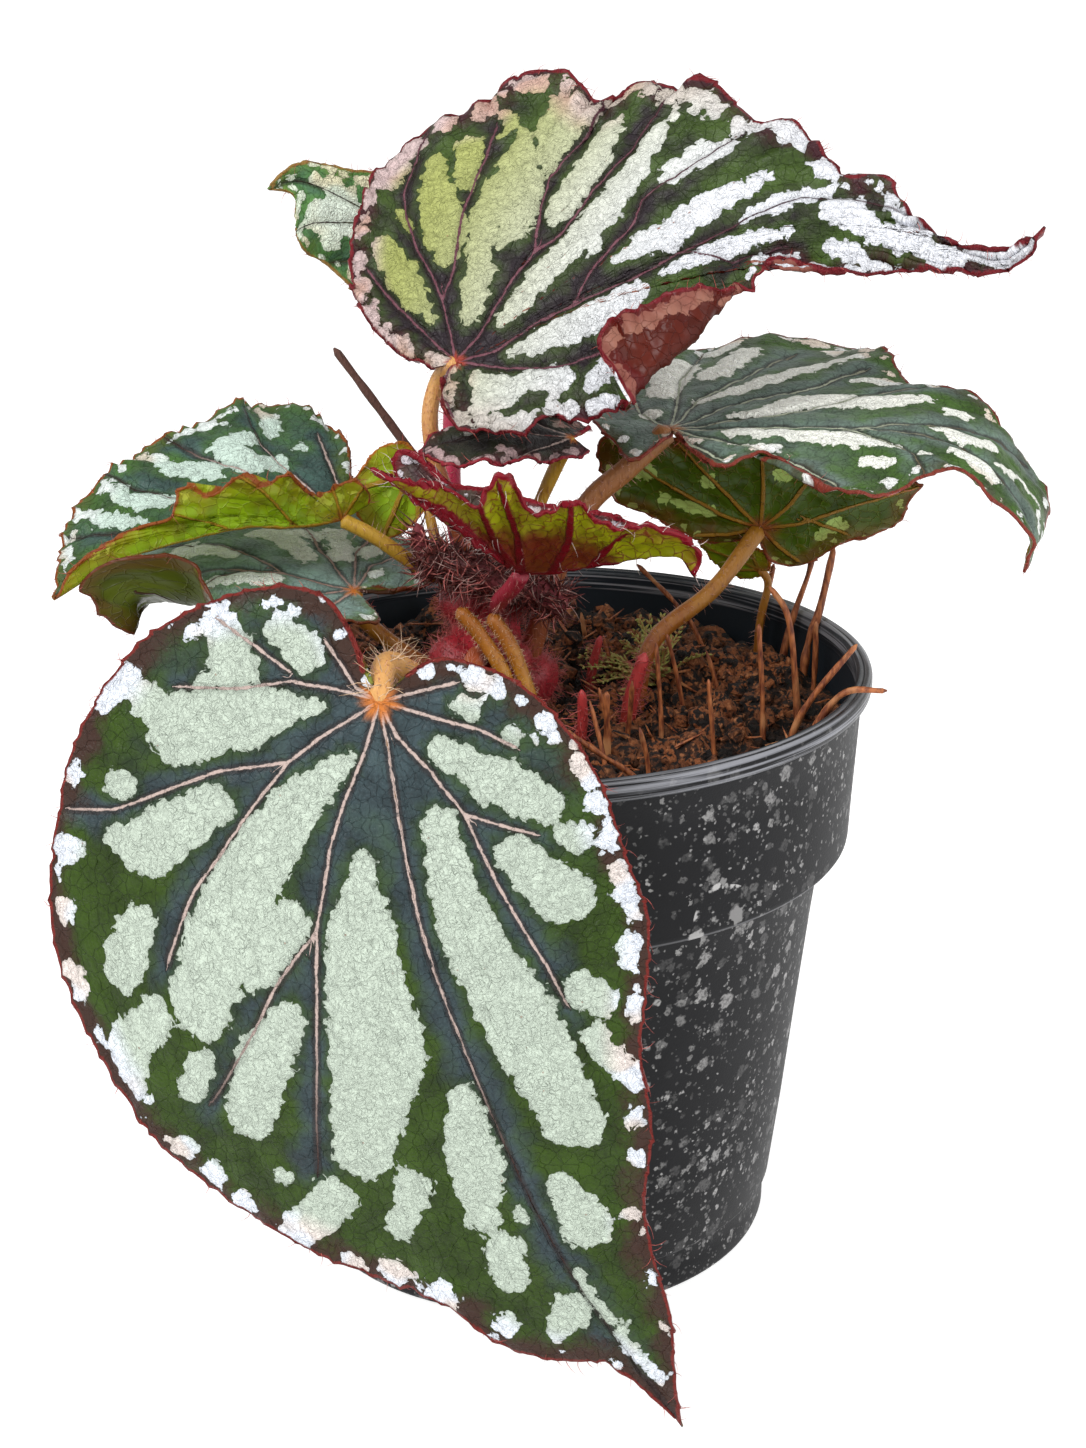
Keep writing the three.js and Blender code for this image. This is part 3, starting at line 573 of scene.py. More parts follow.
def straw_shapes():
    """The straws that lie on the soil, at the places where the part's own draw puts them."""
    draw = seeded_draw(5)
    shapes = []
    for _ in range(22):
        length = 14 + 14 * next(draw)
        tilt = math.radians(70 + 18 * next(draw))
        turn = 2 * math.pi * next(draw)
        angle = 2 * math.pi * next(draw)
        radius = 22 + 26 * next(draw)
        middle = np.array([radius * math.cos(angle), radius * math.sin(angle), soil_level + 1.4])
        upright = Matrix.Rotation(turn, 3, "Z") @ Matrix.Rotation(tilt, 3, "X") @ Vector((0, 1, 0))
        half = np.array(upright) * length / 2
        sag = np.array([0.6, 0.4, 0.8])
        shapes.append(tube([middle - half, middle + sag, middle + half], 0.55, 12, 6, lumps=0.3))
    return shapes


def soil_material():
    material, wiring, surface = new_material("peaty soil")
    place = wiring.place()
    clods = wiring.cells(wiring.wander(place, 0.4, 3.0), 0.32)
    shade = wiring.put("ShaderNodeSeparateColor", {0: clods.outputs["Color"]}).outputs[0]
    fine = wiring.noise(place, 0.75, 5).outputs[0]
    colour = wiring.mix(wiring.ramp(shade, 0.2, 0.85), paint("140805"), paint("8a4e28"))
    # Painted highlight and painted shade: the finest noise paints pale lit specks and near-black gaps among
    # the crumbs.
    colour = wiring.mix(wiring.ramp(fine, 0.54, 0.7), colour, paint("a86c44"))
    colour = wiring.mix(wiring.ramp(fine, 0.5, 0.38), colour, paint("0e0503"))
    # Painted shade in the hollows between the clods.
    colour = wiring.mix(wiring.times(wiring.attribute("pit_shade"), 0.95), colour, paint("0a0402"))
    relief = wiring.times(fine, 1.8)
    finish_surface(wiring, surface, colour, relief, 0.85)
    return material


def straw_material():
    material, wiring, surface = new_material("dry straw")
    place = wiring.place()
    streak = wiring.noise(wiring.move("MULTIPLY", place, (1.0, 1.0, 0.25)), 1.3, 4).outputs[0]
    colour = wiring.mix(wiring.ramp(streak, 0.3, 0.7), paint("5e2612"), paint("b0683a"))
    bleached = wiring.ramp(wiring.noise(place, 0.12).outputs[0], 0.55, 0.75)
    colour = wiring.mix(bleached, colour, paint("c68a5a"))
    finish_surface(wiring, surface, colour, wiring.times(streak, 0.25), 0.6)
    return material


def new_tree(name, kind, inputs, outputs):
    """A node group with its named inputs and outputs, its wiring and its input sockets."""
    tree = bpy.data.node_groups.new(name, kind)
    for way, sockets in (("OUTPUT", outputs), ("INPUT", inputs)):
        for label, value_kind in sockets.items():
            tree.interface.new_socket(label, in_out=way, socket_type="NodeSocket" + value_kind)
    wiring = Wiring(tree)
    return tree, wiring, wiring.put("NodeGroupInput").outputs


def drawn_points(wiring, given):
    """Points drawn on the given surface, as dense as Density where its hair attribute is 1."""
    hair = wiring.put("GeometryNodeInputNamedAttribute", {"Name": "hair"}, data_type="FLOAT").outputs[0]
    density = wiring.times(hair, given["Density"])
    sockets = {"Mesh": given["Geometry"], "Density": density, "Seed": given["Seed"]}
    return wiring.put("GeometryNodeDistributePointsOnFaces", sockets).outputs[0]


def random_value(wiring, given, smallest, largest, kind="FLOAT"):
    """A draw between two numbers, or between two vectors."""
    first, output = (0, 0) if kind == "FLOAT_VECTOR" else (2, 1)
    sockets = {first: smallest, first + 1: largest, "Seed": given["Seed"]}
    return wiring.put("FunctionNodeRandomValue", sockets, data_type=kind).outputs[output]


def random_turn(wiring, given):
    """Any turn round Z, and up to Lean either way round X and Y."""
    sockets = {"X": given["Lean"], "Y": given["Lean"], "Z": math.pi}
    most = wiring.put("ShaderNodeCombineXYZ", sockets).outputs[0]
    return random_value(wiring, given, wiring.move("MULTIPLY", most, (-1, -1, -1)), most, "FLOAT_VECTOR")


def put_copies(wiring, given, shape, turn, scale):
    """Sets a copy of the shape on each drawn point, as plain painted faces: the group's output."""
    sockets = {"Points": drawn_points(wiring, given), "Instance": shape, "Rotation": turn, "Scale": scale}
    placed = wiring.put("GeometryNodeInstanceOnPoints", sockets).outputs[0]
    real = wiring.put("GeometryNodeRealizeInstances", {"Geometry": placed}).outputs[0]
    sockets = {"Geometry": real, "Material": given["Material"]}
    painted = wiring.put("GeometryNodeSetMaterial", sockets).outputs[0]
    wiring.put("NodeGroupOutput", {"Geometry": painted})


def scatter_tree():
    """Crumbs or needles thrown on a surface where its hair attribute is 1, lying at any angle."""
    inputs = {
        "Geometry": "Geometry", "Density": "Float", "Smallest": "Float", "Largest": "Float",
        "Stretch": "Float", "Lean": "Float", "Seed": "Int", "Material": "Material",
    }
    tree, wiring, given = new_tree("scatter", "GeometryNodeTree", inputs, {"Geometry": "Geometry"})
    lump = wiring.put("GeometryNodeMeshIcoSphere", {"Radius": 1.0, "Subdivisions": 1}).outputs[0]
    place = wiring.put("GeometryNodeInputPosition").outputs[0]
    dent = wiring.noise(place, 1.7).outputs[0]
    dents = wiring.put("ShaderNodeCombineXYZ", {"X": dent, "Y": dent, "Z": dent}).outputs[0]
    dented = wiring.move("MULTIPLY", wiring.move("MULTIPLY", place, dents), (1.8, 1.8, 1.8))
    lump = wiring.put("GeometryNodeSetPosition", {"Geometry": lump, "Position": dented}).outputs[0]
    size = random_value(wiring, given, given["Smallest"], given["Largest"])
    long_size = wiring.times(size, given["Stretch"])
    scale = wiring.put("ShaderNodeCombineXYZ", {"X": long_size, "Y": size, "Z": size}).outputs[0]
    put_copies(wiring, given, lump, random_turn(wiring, given), scale)
    return tree


def grown(name, shape, tree, **values):
    """The mesh that a geometry tree makes on a shape, with the tree's named inputs."""
    host = bpy.data.objects.new(name, mesh_of(name, *shape))
    bpy.context.scene.collection.objects.link(host)
    made = host.modifiers.new(name, "NODES")
    made.node_group = tree
    for item in tree.interface.items_tree:
        key = item.name.replace(" ", "_").lower()
        if item.in_out == "INPUT" and key in values:
            made[item.identifier] = values[key]
    return applied(host)


def add_grown(piece, slot, shape, tree, **values):
    """Grows a tree's copies on a shape, and adds them as a piece. Lengths are in millimetres."""
    for key in ("smallest", "largest", "length", "width"):
        if key in values:
            values[key] *= mm
    add_piece(piece, grown(piece, shape, tree, **values), None, slot)


soil_paint = soil_material()
straw_paint = straw_material()
soil_top = soil_shape()
soil_mesh = mesh_of("soil", *soil_top)
add_piece("soil_fill", soil_mesh, soil_paint, "soil", "soil")
add_piece("loose_straws", mesh_of("straws", *join_shapes(straw_shapes())), straw_paint, "straw")
scatter = scatter_tree()
add_grown(
    "soil_crumbs", "soil", soil_top, scatter, density=1.1e5, smallest=0.4, largest=1.5, stretch=1.3,
    lean=3.0, seed=4, material=soil_paint,
)
add_grown(
    "soil_clods", "soil", soil_top, scatter, density=3.4e4, smallest=1.2, largest=3.2, stretch=1.2,
    lean=3.0, seed=14, material=soil_paint,
)
add_grown(
    "needle_litter", "straw", soil_top, scatter, density=1.3e4, smallest=0.28, largest=0.42, stretch=24.0,
    lean=0.5, seed=9, material=straw_paint,
)


# Rhizome: the short thick stem that creeps out of the soil, a cluster of red knots, with the
# shaggy dark bract lying across its top. Short red shoots stand round its foot.
knots = [
    ((-12, 0, 146), 6), ((-3, 0, 148), 6.5), ((0, 4, 126), 7), ((-15, -1, 132), 6), ((-4, -4, 132), 5.5),
]
trunk_line = [(-7, 4, 96), (-8, 3, 124), (-9, 2, 150)]
bract_line = [(-20, -6, 157), (-10, -8, 154), (2, -9, 150), (9, -10, 146)]
bract_tuft_line = [(-19, -6, 152), (-21, -6, 158), (-22, -6, 164)]
red_shoots = [
    (2.2, [(21, 0, 108), (23, -1, 122), (26, -2, 133)]),
    (1.6, [(10, -10, 108), (12, -12, 120), (12, -14, 129)]),
    (1.5, [(13, 19, 108), (15, 20, 122), (17, 20, 130)]),
]


def bristle_tree():
    """Tapered hairs that grow out along the grow attribute where the hair attribute is 1."""
    inputs = {
        "Geometry": "Geometry", "Density": "Float", "Length": "Float", "Width": "Float", "Bend": "Float",
        "Lean": "Float", "Seed": "Int", "Material": "Material",
    }
    tree, wiring, given = new_tree("bristles", "GeometryNodeTree", inputs, {"Geometry": "Geometry"})
    end = wiring.put("ShaderNodeCombineXYZ", {"X": given["Bend"], "Z": 1.0}).outputs[0]
    sockets = {"Resolution": 3, "Start": (0, 0, 0), "Middle": (0, 0, 0.55), "End": end}
    line = wiring.put("GeometryNodeCurveQuadraticBezier", sockets).outputs[0]
    ring = wiring.put("GeometryNodeCurvePrimitiveCircle", {"Resolution": 3, "Radius": 1.0}).outputs[0]
    share = wiring.put("GeometryNodeSplineParameter").outputs["Factor"]
    taper = wiring.minus(1.0, wiring.times(share, 0.85))
    width = wiring.times(taper, wiring.maths("DIVIDE", given["Width"], given["Length"]))
    sockets = {"Curve": line, "Profile Curve": ring, "Scale": width, "Fill Caps": True}
    strand = wiring.put("GeometryNodeCurveToMesh", sockets).outputs[0]
    grow = wiring.put("GeometryNodeInputNamedAttribute", {"Name": "grow"}, data_type="FLOAT_VECTOR")
    upright = wiring.put("FunctionNodeAlignRotationToVector", {"Vector": grow.outputs[0]}, axis="Z")
    spun = wiring.put("FunctionNodeEulerToRotation", {0: random_turn(wiring, given)}).outputs[0]
    sockets = {"Rotation": upright.outputs[0], "Rotate By": spun}
    turn = wiring.put("FunctionNodeRotateRotation", sockets, rotation_space="LOCAL").outputs[0]
    size = wiring.times(random_value(wiring, given, 0.5, 1.1), given["Length"])
    put_copies(wiring, given, strand, turn, size)
    return tree


def stem_material(name, low, high, deep, roughness=0.45):
    """A fleshy stem that changes colour along its length, with fine lengthwise streaks."""
    material, wiring, surface = new_material(name)
    place = wiring.place()
    along = wiring.attribute("along")
    blotch = wiring.noise(place, 0.35, 3).outputs[0]
    fine = wiring.noise(wiring.move("MULTIPLY", place, (1, 1, 0.3)), 1.6, 3).outputs[0]
    share = wiring.plus(along, wiring.times(wiring.minus(blotch, 0.5), 0.8))
    colour = wiring.mix(wiring.ramp(share, 0.1, 0.9), paint(low), paint(high))
    colour = wiring.mix(wiring.ramp(fine, 0.55, 0.75, 0, 0.7), colour, paint(deep))
    finish_surface(wiring, surface, colour, wiring.times(fine, 0.3), roughness)
    return material


def hair_material(name, code):
    material, wiring, surface = new_material(name)
    place = wiring.place()
    shade = wiring.noise(place, 0.9, 2).outputs[0]
    dark = [0.45 * c for c in paint(code)[:3]] + [1.0]
    colour = wiring.mix(wiring.ramp(shade, 0.3, 0.7), dark, paint(code))
    finish_surface(wiring, surface, colour, 0.0, 0.5)
    return material


def ball(middle, radius):
    """A slightly lumpy knot as (points, faces, attributes)."""
    profile = [(radius * math.sin(a), -radius * math.cos(a)) for a in np.linspace(0.25, math.pi - 0.25, 14)]
    points, faces = lathe([(0, -radius)] + profile + [(0, radius)], 24)
    points = np.array(points, float)
    outward = unit(points)
    points = points * (0.9 + 0.25 * value_noise(points + 50, 4, 6))[:, None] + middle
    return points, faces, {
        "along": np.full(len(points), 0.5),
        "hair": np.ones(len(points)),
        "grow": outward,
    }


rhizome_shapes = [ball(middle, radius) for middle, radius in knots]
rhizome_shapes.append(tube(trunk_line, 8, 40, 24, hair=0.6, lumps=0.3))
bract_shapes = [tube(bract_line, 3.8, 30, 16, hair=1.0, taper=0.6, lumps=0.5)]
bract_shapes.append(tube(bract_tuft_line, 2.4, 14, 12, hair=1.0, taper=0.5, lumps=0.4))
shoot_shapes = [tube(line, radius, 20, 12, hair=1.0, taper=0.55, lumps=0.3) for radius, line in red_shoots]

bristles = bristle_tree()
red_flesh = stem_material("red rhizome", "7a1a20", "b02c38", "4c0e14")
shoot_flesh = stem_material("red shoot", "8a2c22", "c04040", "5c1a1a")
bract_flesh = stem_material("dark bract", "4a1c1e", "7a2c34", "241012", 0.7)
add_piece("rhizome_body", mesh_of("rhizome", *join_shapes(rhizome_shapes)), red_flesh, "red_stem", "rhizome")
add_piece("bract_body", mesh_of("bract", *join_shapes(bract_shapes)), bract_flesh, "red_stem")
for number, shape in enumerate(shoot_shapes, 1):
    add_piece(f"shoot_{number}", mesh_of("shoot", *shape), shoot_flesh, "red_stem", f"red_shoot_{number}")
pink_hair = hair_material("pink bristles", "d87a74")
dark_hair = hair_material("dark bristles", "642824")
grey_hair = hair_material("grey bristles", "d0a8a0")
red_hair = hair_material("red bristles", "c4605c")
add_grown(
    "rhizome_bristles", "red_stem", join_shapes(rhizome_shapes + shoot_shapes), bristles, density=9e5,
    length=2.9, width=0.11, bend=0.5, lean=0.7, seed=2, material=red_hair,
)
bract_coats = [
    ("dark", dark_hair, 1.0e6, 3.4, 0.3, 3), ("pink", pink_hair, 3.5e5, 3.6, 0.24, 23),
    ("grey", grey_hair, 2e5, 4.2, 0.16, 33),
]
for name, hair, density, length, width, seed in bract_coats:
    add_grown(
        f"bract_bristles_{name}", "red_stem", join_shapes(bract_shapes), bristles, density=density,
        length=length, width=width, bend=1.4, lean=1.0, seed=seed, material=hair,
    )


# Front leaf: the largest, hanging over the rim down to the table. A thin fleshy blade, quilted
# between its sunken veins, dark green with silver patches, a red toothed rim and fine hairs.
blade_thickness = 0.6


def field(x, y, strokes):
    """Distance to the nearest of some tapered strokes of (x, y, radius), below 0 inside them."""
    nearest = np.full(len(x), 1e3)
    for stroke in strokes:
        ends = list(zip(stroke, stroke[1:])) or [(stroke[0], stroke[0])]
        for (x0, y0, r0), (x1, y1, r1) in ends:
            dx, dy = x1 - x0, y1 - y0
            share = np.clip(((x - x0) * dx + (y - y0) * dy) / max(dx * dx + dy * dy, 1e-9), 0, 1)
            distance = np.hypot(x - x0 - share * dx, y - y0 - share * dy) - (r0 + share * (r1 - r0))
            nearest = np.minimum(nearest, distance)
    return nearest


def vein_offset(x, y, veins):
    """Distance to the nearest vein, below 0 on its right side, so that it is even across the vein."""
    nearest = np.full(len(x), 1e3)
    offset = np.full(len(x), 1e3)
    for vein in veins:
        for (x0, y0), (x1, y1) in zip(vein, vein[1:]):
            dx, dy = x1 - x0, y1 - y0
            share = np.clip(((x - x0) * dx + (y - y0) * dy) / (dx * dx + dy * dy), 0, 1)
            distance = np.hypot(x - x0 - share * dx, y - y0 - share * dy)
            left = np.where(dx * (y - y0) > dy * (x - x0), 1.0, -1.0)
            offset = np.where(distance < nearest, distance * left, offset)
            nearest = np.minimum(nearest, distance)
    return offset


def cell_domes(x, y, size, seed):
    """1 in the middle of irregular cells about size across, falling to 0 at their borders."""
    cell_x, cell_y = np.floor(x / size), np.floor(y / size)
    first = np.full(len(x), 9.0)
    second = np.full(len(x), 9.0)
    for i in (-1, 0, 1):
        for j in (-1, 0, 1):
            column, row = cell_x + i, cell_y + j
            corner = np.stack([column, row], -1) + 0.5
            push_x = value_noise(corner * 3, 1.01, seed)
            push_y = value_noise(corner * 3 + 77, 1.01, seed + 1)
            distance = np.hypot(x / size - column - push_x, y / size - row - push_y)
            second = np.minimum(second, np.maximum(first, distance))
            first = np.minimum(first, distance)
    return np.clip((second - first) / 0.5, 0, 1) ** 0.6


def blade_frame(leaf):
    """The part's own rule for where a point of the flat blade goes: x along, y left, h up."""
    rib = smooth_line(leaf["rib"], 240)
    reach = np.concatenate([[0], np.cumsum(np.linalg.norm(np.diff(rib, axis=0), axis=1))])
    ahead = unit(np.gradient(rib, reach, axis=0))
    first_side = np.array(leaf["side"], float)
    last_side = np.array(leaf.get("side_tip", leaf["side"]), float)

    def place(x, y, h):
        held = np.clip(x, 0, reach[-1])
        along = unit(np.stack([np.interp(held, reach, ahead[:, k]) for k in range(3)], -1))
        middle = np.stack([np.interp(held, reach, rib[:, k]) for k in range(3)], -1)
        middle = middle + along * (x - held)[:, None]
        share = (held / reach[-1])[:, None]
        side = first_side * (1 - share) + last_side * share
        side = unit(side - along * (side * along).sum(-1, keepdims=True))
        up = np.cross(along, side)
        half = (y < 0).astype(int)
        lift = np.radians(leaf.get("lift", (0, 0)))[half]
        turn = np.radians(leaf.get("cup", (0, 0)))[half] / 60
        turn = np.where(np.abs(turn) < 1e-6, 1e-6, turn)
        angle = lift + turn * np.abs(y)
        out = (np.sin(angle) - np.sin(lift)) / turn - h * np.sin(angle)
        rise = (np.cos(lift) - np.cos(angle)) / turn + h * np.cos(angle)
        way = np.where(y < 0, -1.0, 1.0)
        return middle + side * (way * out)[:, None] + up * rise[:, None]

    return place


def blade_margin(leaf, spokes):
    """The margin from the sinus round the right half to the tip, and back round the left half."""
    outline = np.array(leaf["outline"], float)
    halves = [outline[:leaf["tip"] + 1], outline[leaf["tip"]:]]
    lines = [smooth_line(half, 40 * len(half), extend=False) for half in halves]
    lengths = [np.linalg.norm(np.diff(line, axis=0), axis=1).sum() for line in lines]
    first = round(spokes * lengths[0] / sum(lengths))
    parts = [spaced(lines[0], first + 1), spaced(lines[1], spokes - first + 1)[1:]]
    return np.concatenate(parts), sum(lengths)


def hooked_teeth(distance, whole, pitch, height, seed):
    """Small hooked teeth along the margin, each steep on one side, at uneven distances."""
    rng = np.random.default_rng(seed)
    count = int(whole / pitch)
    places = (np.arange(count) + rng.uniform(-0.35, 0.35, count)) * pitch
    heights = height * rng.uniform(0.4, 1.1, count)
    teeth = np.zeros(len(distance))
    for place, tall in zip(places, heights):
        past = distance - place
        slope = np.where(past < 0, 1 + past / 0.9, 1 - past / (0.3 * pitch))
        teeth = np.maximum(teeth, tall * np.clip(slope, 0, 1) ** 1.4)
    return teeth


def fold_over(leaf, x, y, h):
    """Turns up what lies beyond a straight line of the flat blade, as in the part's source."""
    if "fold" not in leaf:
        return x, y, h
    start, end, turn, bend, ease = leaf["fold"]
    start = np.array(start, float)
    length = math.dist(start, end)
    along = (np.array(end) - start) / length
    out = np.array([along[1], -along[0]])
    if out @ start < 0:
        out = -out
    past = (x - start[0]) * out[0] + (y - start[1]) * out[1]
    place = (x - start[0]) * along[0] + (y - start[1]) * along[1]
    share = step_between(place, -ease, ease) * (1 - step_between(place, length - ease, length + ease))
    angle = np.radians(turn) * share
    folded = (past > 0) & (angle >= 0.01)
    angle = np.where(folded, angle, 1.0)
    curved = np.minimum(past, bend)
    straight = past - curved
    arc = angle * curved / bend
    reach = bend / angle * np.sin(arc) + straight * np.cos(arc) - h * np.sin(arc)
    rise = bend / angle * (1 - np.cos(arc)) + straight * np.sin(arc) + h * np.cos(arc)
    moved = np.where(folded, reach - past, 0)
    return x + out[0] * moved, y + out[1] * moved, np.where(folded, rise, h)


def margin_spots(margin, whole, pitch, sizes, inset, seed):
    """Small silver spots strung out just inside the margin."""
    rng = np.random.default_rng(seed)
    count = int(whole / pitch)
    last = len(margin) - 1
    spots = []
    for k in range(count):
        i = int(np.clip((k + rng.uniform(-0.4, 0.4)) / count, 0, 1) * last)
        radius = rng.uniform(*sizes)
        back = 1 - (inset + radius + rng.uniform(0, 1.2)) / max(np.hypot(*margin[i]), 1)
        ahead = margin[min(i + 2, last)] - margin[i]
        ahead = ahead / max(np.hypot(*ahead), 1e-6) * radius * rng.uniform(0.3, 1.4)
        start = margin[i] * back
        spots.append([(*start, radius), (*(start + ahead), 0.8 * radius)])
    return spots


def blade_plan(leaf, seed):
    """The grid of a flat blade, joint to toothed margin, and how far its points are from each marking."""
    spokes, rings = leaf["mesh"]
    margin, whole = blade_margin(leaf, spokes)
    plan = SimpleNamespace(margin=np.tile(margin, (rings, 1, 1)))
    steps = 1 - (1 - np.linspace(0, 1, rings + 1)[1:]) ** 1.15
    plan.around, plan.out = np.meshgrid(np.linspace(0, 1, spokes + 1), steps)
    pitch, height = leaf.get("tooth_pitch", 6.5), leaf.get("tooth", 0.9)
    teeth = hooked_teeth(plan.around[0] * whole, whole, pitch, height, seed) - 0.3
    reach = np.hypot(plan.margin[..., 0], plan.margin[..., 1])
    toothed = reach * plan.out + teeth * step_between(plan.out, 0.94, 1)
    plan.toothed = (plan.margin * (toothed / reach)[..., None]).reshape(-1, 2)
    plan.x, plan.y = ((plan.margin[..., k] * plan.out).ravel() for k in range(2))
    plan.joint = np.hypot(plan.x, plan.y)
    plan.offset = vein_offset(plan.x, plan.y, leaf["veins"])
    plan.vein = np.abs(plan.offset)
    spots = margin_spots(margin, whole, *leaf["spots"], seed)
    patch = field(plan.x, plan.y, leaf["patches"]) + leaf.get("shrink", 0)
    patch = np.minimum(patch, field(plan.x, plan.y, spots))
    plan.patch = np.maximum(patch, -field(plan.x, plan.y, leaf.get("islands", [])))
    plan.rim = field(plan.x, plan.y, [[(x, y, 0) for x, y in margin[::3]] + [(*margin[-1], 0)]])
    return plan


def blade_height(leaf, plan, seed):
    """How far the blade rises from its flat plan: ruffles, quilting, grooves over the veins, puffs."""
    x, y = plan.x, plan.y
    tall, waves, phase = leaf["ruffle"]
    frill, frills = leaf.get("frill", (0.3, 31))
    before_tip = 1 - step_between(plan.margin[..., 0] / leaf["outline"][leaf["tip"]][0], 0.7, 0.9)
    turn = 2 * np.pi * plan.around
    height = tall * before_tip * plan.out**3 * np.sin(waves * turn + phase)
    height = height + frill * plan.out**10 * np.sin(frills * turn + 3 * np.sin(waves * turn))
    quilt = leaf.get("quilt", 0.5)
    domes = cell_domes(x, y, leaf.get("cell", 7.0), seed) * step_between(plan.joint, 4, 14)
    grooves = np.exp(-((plan.vein / 1.6) ** 2)) * step_between(plan.joint, 1, 8)
    swell = 0.35 * step_between(-plan.patch, -1.0, 1.2)
    height = height.ravel() + quilt * (domes - 0.5 + swell - 1.3 * grooves)
    height = height + 0.3 * quilt * (cell_domes(x, y, 2.6, seed + 5) - 0.5)
    puffs = leaf.get("puff", 0.0) * step_between(-plan.rim, -7, -3)
    return height + puffs * (cell_domes(x, y, 4.6, seed + 9) - 0.5)


def closed_sheet(middle, sheet, half):
    """A grid of points round a middle one, as a closed solid with two faces and an edge."""
    rings, columns = sheet.shape[:2]
    outward = unit(np.gradient(sheet, axis=0))
    normal = unit(np.cross(outward, np.gradient(sheet, axis=1)))
    centre = np.concatenate([middle, sheet.reshape(-1, 3)])
    normals = np.concatenate([unit(normal[0].mean(0))[None], normal.reshape(-1, 3)])
    points = np.concatenate([centre + normals * half, centre - normals * half])
    count = len(centre)
    index = 1 + np.arange(rings * columns).reshape(rings, columns)
    inner, outer = index[:-1], index[1:]
    quads = np.stack([inner[:, :-1], outer[:, :-1], outer[:, 1:], inner[:, 1:]], -1).reshape(-1, 4)
    fan = np.stack([np.zeros(columns - 1, int), index[0, :-1], index[0, 1:]], -1)
    border = np.concatenate([[0], index[:-1, 0], index[-1], index[-2::-1, -1]])
    after = np.roll(border, -1)
    edge = np.stack([after, border, border + count, after + count], -1)
    faces = quads.tolist() + fan.tolist()
    faces += (quads[:, ::-1] + count).tolist() + (fan[:, ::-1] + count).tolist() + edge.tolist()
    return points, faces, normals, np.concatenate([[[0, 0, 0]], outward.reshape(-1, 3)])


def blade_shape(leaf, seed):
    """A leaf blade as (points, faces, attributes), with what its pattern and its hairs need."""
    plan = blade_plan(leaf, seed)
    height = blade_height(leaf, plan, seed)
    place = blade_frame(leaf)
    sheet = place(*fold_over(leaf, *plan.toothed.T, height)).reshape(*plan.out.shape, 3)
    middle = place(np.zeros(1), np.zeros(1), np.zeros(1))
    points, faces, normals, outward = closed_sheet(middle, sheet, blade_thickness / 2)
    count = len(normals)

    def both(values, start):
        one = np.concatenate([[start], values])
        return np.concatenate([one, one])

    hair = np.maximum(step_between(plan.rim, 0.9, 0.3), leaf.get("rib_hair", 0.0) * (plan.vein < 0.9))
    hair = both(hair, 0)
    on_rim = both(plan.rim, 99) < 1
    hair[:count] = np.where(on_rim[:count], hair[:count], 0)
    grow = np.where(on_rim[:, None], np.tile(outward, (2, 1)), np.concatenate([normals, -normals]))
    return points, faces, {
        "blade": np.stack([both(plan.x, 0), both(plan.y, 0), np.zeros(2 * count)], -1),
        "patch": both(plan.patch, 5),
        "vein": both(plan.vein, 0),
        "offset": both(plan.offset, 0),
        "rim": both(plan.rim, 99),
        "side": np.concatenate([np.ones(count), -np.ones(count)]),
        "hair": hair,
        "grow": grow,
    }


def grey(wiring, value):
    return wiring.put("ShaderNodeCombineColor", {0: value, 1: value, 2: value}).outputs[0]


def blade_places(wiring, given):
    """What all layers of the pattern read: places on the flat blade, its little cells and its noise."""
    at = SimpleNamespace(plan=wiring.attribute("blade", "Vector"))
    at.patch, vein, at.rim = (wiring.attribute(name) for name in ("patch", "vein", "rim"))
    # The signed offset runs evenly across a vein where the distance has a kink, but only near it.
    close = wiring.ramp(vein, 1.5, 1.1)
    exact = wiring.maths("ABSOLUTE", wiring.attribute("offset"))
    at.vein = wiring.plus(wiring.times(vein, wiring.minus(1.0, close)), wiring.times(exact, close))
    at.joint = wiring.length(at.plan)
    bent = wiring.wander(at.plan, 0.3, 2.2)
    at.draw = wiring.put("ShaderNodeSeparateColor", {0: wiring.cells(bent, 0.42).outputs["Color"]}).outputs
    at.net = wiring.ramp(wiring.cells(bent, 0.42, "DISTANCE_TO_EDGE").outputs["Distance"], 0.055, 0.0)
    at.fine = wiring.minus(wiring.noise(at.plan, 1.5, 3).outputs[0], 0.5)
    at.broad = wiring.minus(wiring.noise(at.plan, 0.13, 3).outputs[0], 0.5)
    swirl = wiring.noise(wiring.wander(at.plan, 0.5, 4.0), 0.75, 2).outputs[0]
    at.swirl = wiring.maths("ABSOLUTE", wiring.minus(swirl, 0.5))
    at.flaky = wiring.plus(at.vein, wiring.times(at.fine, 0.35))

    # The edge of a silver patch follows the little cells between the veinlets, so it is scalloped.
    scallops = wiring.cells(wiring.wander(at.plan, 0.5, 1.0), 0.5).outputs["Distance"]
    edge = wiring.times(wiring.minus(scallops, 0.4), 1.7)
    edge = wiring.plus(edge, wiring.times(wiring.minus(at.draw[0], 0.5), 0.8), at.fine)
    edge = wiring.plus(edge, wiring.times(at.broad, 1.6))
    at.jagged = wiring.plus(at.patch, wiring.minus(edge, wiring.ramp(at.rim, 4, 9, -0.1, 0.4)))
    at.silver = wiring.ramp(at.jagged, 0.1, -0.1)

    # The joint is a small star, and the margin has a thin coloured edging.
    rays = wiring.noise(wiring.move("NORMALIZE", at.plan, (0, 0, 0)), 3.5, 1).outputs[0]
    reach = wiring.times(rays, 1.6, given["Joint size"])
    star = wiring.maths("DIVIDE", wiring.minus(at.joint, reach), given["Joint size"])
    at.star = wiring.ramp(star, 0.15, -0.6)
    edging = wiring.minus(given["Rim width"], wiring.plus(at.rim, wiring.times(at.fine, 0.7)))
    at.edging = wiring.ramp(edging, -0.2, 0.2)
    return at


